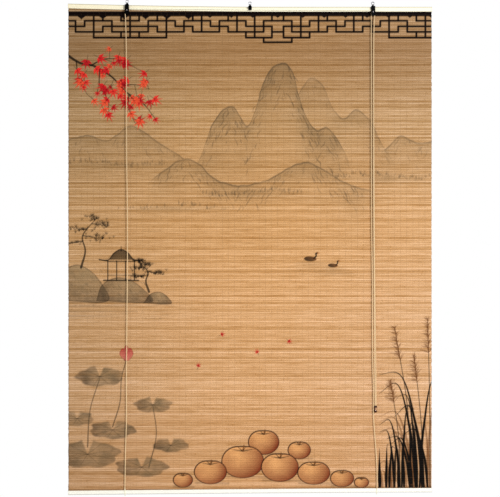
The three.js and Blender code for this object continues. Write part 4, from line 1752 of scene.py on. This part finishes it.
@dataclass
class LiftCords:
    """The two lift cords, from the clips down the back, under the bottom rail and up the front to the pull."""

    radius: float = 1.0
    sides: int = 10
    step: float = 5.0  # how far apart the points of a cord's line are
    back_lane: float = 4.6  # how far back the cords run behind the panel
    rail_lane: float = -5.3  # before the bottom rail
    rear_lane: float = -7.4  # and over the right wheel, the right cord
    front_lane: float = -9.7  # and the left cord
    toggle_lane: float = -8.55  # and where both end in the toggle
    headrail_top: float = -11.8
    clip_drop: float = 12.6  # how far under it a cord leaves its clip
    rail_tuck: float = 1.2  # how far over the bottom rail's foot the turn under it begins
    wheel_turn: float = 4.1  # how far from a wheel's middle a cord runs
    left_wheel: Point = (-304.0, -20.643)
    right_wheel: Point = (304.0, -25.2)
    toggle_x: float = 310.0
    toggle_top: float = -997.0
    toggle_height: float = 16.8
    toggle_profile: tuple[Point, ...] = (  # for each share of its height from the top, its radius
        (0.0, 2.3), (0.02, 2.8), (0.06, 3.19), (0.13, 3.7), (0.2, 4.1), (0.27, 4.02), (0.36, 3.6), (0.49, 3.46),
        (0.62, 3.6), (0.71, 4.02), (0.78, 4.1), (0.86, 3.62), (0.93, 2.9), (0.98, 2.3), (1.0, 1.9),
    )  # fmt: skip

    def start(self, x: float) -> Place:
        """Where a cord leaves its clip, behind the headrail."""
        return (x, self.back_lane, self.headrail_top + HEADRAIL_BOW.at(x) - self.clip_drop)

    def over(self, wheel: Point, lane: float, first: int, last: int) -> list[Place]:
        """Finds points over a wheel.

        Args:
            wheel: the wheel's middle.
            lane: how far back the cord runs over it.
            first: the angle where it meets the wheel, in degrees from the right.
            last: the angle where it leaves the wheel.

        Returns:
            The points.
        """
        angles = np.radians(np.linspace(first, last, abs(last - first) // 15 + 1))
        rim = [around(*wheel, self.wheel_turn, self.wheel_turn, angle) for angle in angles]
        return [(x, lane, z) for x, z in rim]

    def under(self, x: float) -> list[Place]:
        """Finds points of the half turn under the bottom rail.

        Args:
            x: where the cord is.

        Returns:
            The points, from the back to the front.
        """
        middle, turn = (self.back_lane + self.rail_lane) / 2, (self.back_lane - self.rail_lane) / 2
        top = BOTTOM_RAIL_FOOT + BOTTOM_RAIL_BOW.at(x) + self.rail_tuck
        return [(x, middle + turn * math.cos(a), top - turn * math.sin(a)) for a in np.radians(range(0, 181, 15))]

    def left(self) -> list[Place]:
        """Charts the left cord's route.

        Returns:
            Points from its clip to the toggle.
        """
        mean = (self.left_wheel[1] + self.right_wheel[1]) / 2
        return [
            self.start(-305), (-306.5, self.back_lane, -600), *self.under(-309.2),
            (-308.7, self.rail_lane, -1177), (-307.7, -5.4, -1115), (-305.3, -5.7, -1030), (-305.2, -6, -930),
            (-304.3, -6.5, -820), (-302.9, -7.1, -660), (-302.7, -7.8, -520), (-304.5, -8.5, -380),
            (-304.9, -9.1, -220), (-305.2, -9.4, -120), (-306.6, -9.6, -60),
            *self.over(self.left_wheel, self.front_lane, 180, 90),
            (0, self.front_lane, mean + self.wheel_turn), *self.over(self.right_wheel, self.front_lane, 90, 0),
            (306.2, -9.7, -58), (305.2, -9.6, -110), (305.1, -9.6, -300), (305.2, -9.4, -480), (306.2, -9.4, -640),
            (306.7, -9.3, -760), (307.6, -9.2, -880), (308.4, -9, -945), self.end(-1.15),
        ]  # fmt: skip

    def right(self) -> list[Place]:
        """Charts the right cord's route.

        Returns:
            Points from its clip to the toggle.
        """
        lane = self.rail_lane
        return [
            self.start(305), (309, self.back_lane, -600), *self.under(313.3),
            (314.1, lane, -1180), (312.4, lane, -1125), (310, -5.4, -1090), (306.6, -5.5, -1045),
            (304.9, -5.5, -1015), (305, -5.6, -960), (303.2, -5.7, -892), (302.6, -5.9, -800),
            (302.5, -6.1, -680), (300.7, -6.3, -560),
            (300, -6.9, -220), *self.over(self.right_wheel, self.rear_lane, 180, 0),
            (306.6, self.rear_lane, -58), (305.9, -7.3, -110), (305.9, -7.3, -300), (306.7, -7.2, -480),
            (307.8, -7.2, -640), (309, -7.1, -760), (310.6, -7.1, -880), (311.2, -7.6, -945), self.end(1.15),
        ]  # fmt: skip

    def end(self, aside: float) -> Place:
        """Where a cord enters the toggle."""
        return (self.toggle_x + aside, self.toggle_lane, self.toggle_top + 0.3)

    def toggle(self) -> bpy.types.Object:
        """Turns the toggle that the cords end in: a round section on its axis, scaled at each height.

        Returns:
            The piece.
        """
        down, radii = np.array(self.toggle_profile).T
        guide = Guide()
        axis = [(self.toggle_x, self.toggle_lane, self.toggle_top - self.toggle_height * share) for share in down]
        guide.add(np.array(axis) * MM, tilt=0.0, scale=radii)
        middle = (self.toggle_x, self.toggle_top - self.toggle_height / 2)
        piece = swept("toggle_turned", guide, circle(32, 1.0), TurnedWoodFinish(middle).material(), Facing.FRONT)
        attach(piece, "root")
        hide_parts("toggle")
        return piece

    def build(self) -> list[bpy.types.Object]:
        """Makes both cords and the toggle that they end in.

        Returns:
            The toggle and the cords.
        """
        cotton = CottonFinish().material()
        toggle = self.toggle()
        section = circle(self.sides, self.radius)
        pieces = [toggle]
        for name, route in (("cord_left_braid", self.left()), ("cord_right_braid", self.right())):
            line = through(route, self.step) * MM
            length = float(np.linalg.norm(np.diff(line, axis=0), axis=1).sum())
            guide = Guide()
            guide.add(line, tilt=0.0, scale=1.0)
            piece = swept(name, guide, section, cotton, Facing.LEAST_TWIST)
            self._unwrap(piece.data, line)
            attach(piece, "root")
            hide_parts(name.removesuffix("_braid"))
            log.info("%s is %.3f m long", name, length)
            pieces.append(piece)
        return pieces

    def _unwrap(self, mesh: bpy.types.Mesh, line: np.ndarray) -> None:
        """Gives a cord a UV map of turns round it and metres along it.

        Args:
            mesh: the cord's mesh, ring after ring of vertices.
            line: the middle of each ring, in metres.
        """
        along = np.concatenate([[0], np.cumsum(np.linalg.norm(np.diff(line, axis=0), axis=1))])
        corners = np.zeros(len(mesh.loops), np.int32)
        mesh.loops.foreach_get("vertex_index", corners)
        side = (corners % self.sides).astype(float)
        ring = np.minimum(corners // self.sides, len(line) - 1)
        starts, totals = np.zeros((2, len(mesh.polygons)), np.int32)
        mesh.polygons.foreach_get("loop_start", starts)
        mesh.polygons.foreach_get("loop_total", totals)
        face = np.repeat(np.arange(len(starts)), totals)
        widest = np.maximum.reduceat(side, starts)[face]
        side[(side == 0) & (widest == self.sides - 1)] = self.sides
        uv = np.stack([side / self.sides, along[ring]], axis=1).astype(np.float32)
        mesh.uv_layers.new(name="UVMap").data.foreach_set("uv", uv.ravel())


# ---------------------------------------------------------------- studio


@dataclass
class Studio:
    """Camera straight in front, soft light from the right and from behind, a white surround and a pale floor.

    Its sizes and places are in metres.
    """

    distance: float = 4.0
    middle: float = -0.609  # the blind's own
    lens: float = 116.4  # in millimetres, like the sensor
    sensor: float = 36.0
    floor: float = -1.9
    floor_reach: float = 2.5
    glow: float = 0.55  # how strongly the white surround lights the blind
    lamps: tuple[tuple[str, Place, float, float], ...] = (  # name, place, watts and width
        ("key", (1.3, -3.2, 0.1), 120.0, 0.7),
        ("fill", (-2.6, -3.4, -0.2), 14.0, 2.0),
        ("rear", (-1.2, 3.4, 0.2), 60.0, 1.2),
    )

    def place_camera(self) -> None:
        """Puts the camera where the photograph was taken from."""
        lens = bpy.data.cameras.new("camera")
        lens.lens = self.lens
        lens.sensor_width = self.sensor
        camera = bpy.data.objects.new("camera", lens)
        camera.location = (0.0, -self.distance, self.middle)
        camera.rotation_euler = (math.radians(90), 0.0, 0.0)
        bpy.context.scene.collection.objects.link(camera)
        bpy.context.scene.camera = camera

    def build(self) -> None:
        """Makes the surround, the floor and the lights."""
        scene = bpy.context.scene
        scene.view_settings.view_transform = "Standard"
        world = bpy.data.worlds.new("surround")
        world.use_nodes = True
        tree = Tree(world.node_tree)
        seen = tree.out("ShaderNodeLightPath", output="Is Camera Ray")
        strength = seen * (1 - self.glow) + self.glow
        glow = tree.out("ShaderNodeBackground", None, {"Color": WHITE, "Strength": strength})
        tree.node("ShaderNodeOutputWorld", None, {"Surface": glow})
        scene.world = world
        mesh = bpy.data.meshes.new("floor")
        reach = self.floor_reach
        corners = [(-reach, -reach), (reach, -reach), (reach, reach), (-reach, reach)]
        mesh.from_pydata([(x, y, self.floor) for x, y in corners], [], [(0, 1, 2, 3)])
        mesh.materials.append(FloorFinish().material())
        new_object("floor", mesh)
        for lamp in self.lamps:
            self._light(*lamp)

    def _light(self, name: str, place: Place, power: float, size: float) -> None:
        """Adds a soft light that looks at the middle of the blind.

        Args:
            name: its name.
            place: where it stands.
            power: its power in watts.
            size: how wide it is.
        """
        lamp = bpy.data.lights.new(name, "AREA")
        lamp.energy = power
        lamp.size = size
        light = bpy.data.objects.new(name, lamp)
        light.location = place
        aim = Vector((0.0, 0.0, self.middle)) - Vector(place)
        light.rotation_euler = aim.to_track_quat("-Z", "Y").to_euler()
        bpy.context.scene.collection.objects.link(light)


def report(pieces: Iterable[bpy.types.Object]) -> None:
    """Logs each piece with its triangles."""
    for piece in pieces:
        log.info("%s: %d triangles", piece.name, sum(len(p.vertices) - 2 for p in piece.data.polygons))


def main() -> None:
    """Loads the frame and builds every sub-assembly in order."""
    logging.basicConfig(level=logging.INFO, format="%(message)s")
    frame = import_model()
    studio = Studio()
    studio.place_camera()
    report(LiftCords().build())
    report(WovenPanel().build())
    report(Rails().dress(frame))
    report(Hangers().dress(frame))
    studio.build()
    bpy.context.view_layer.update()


if __name__ == "__main__":
    main()
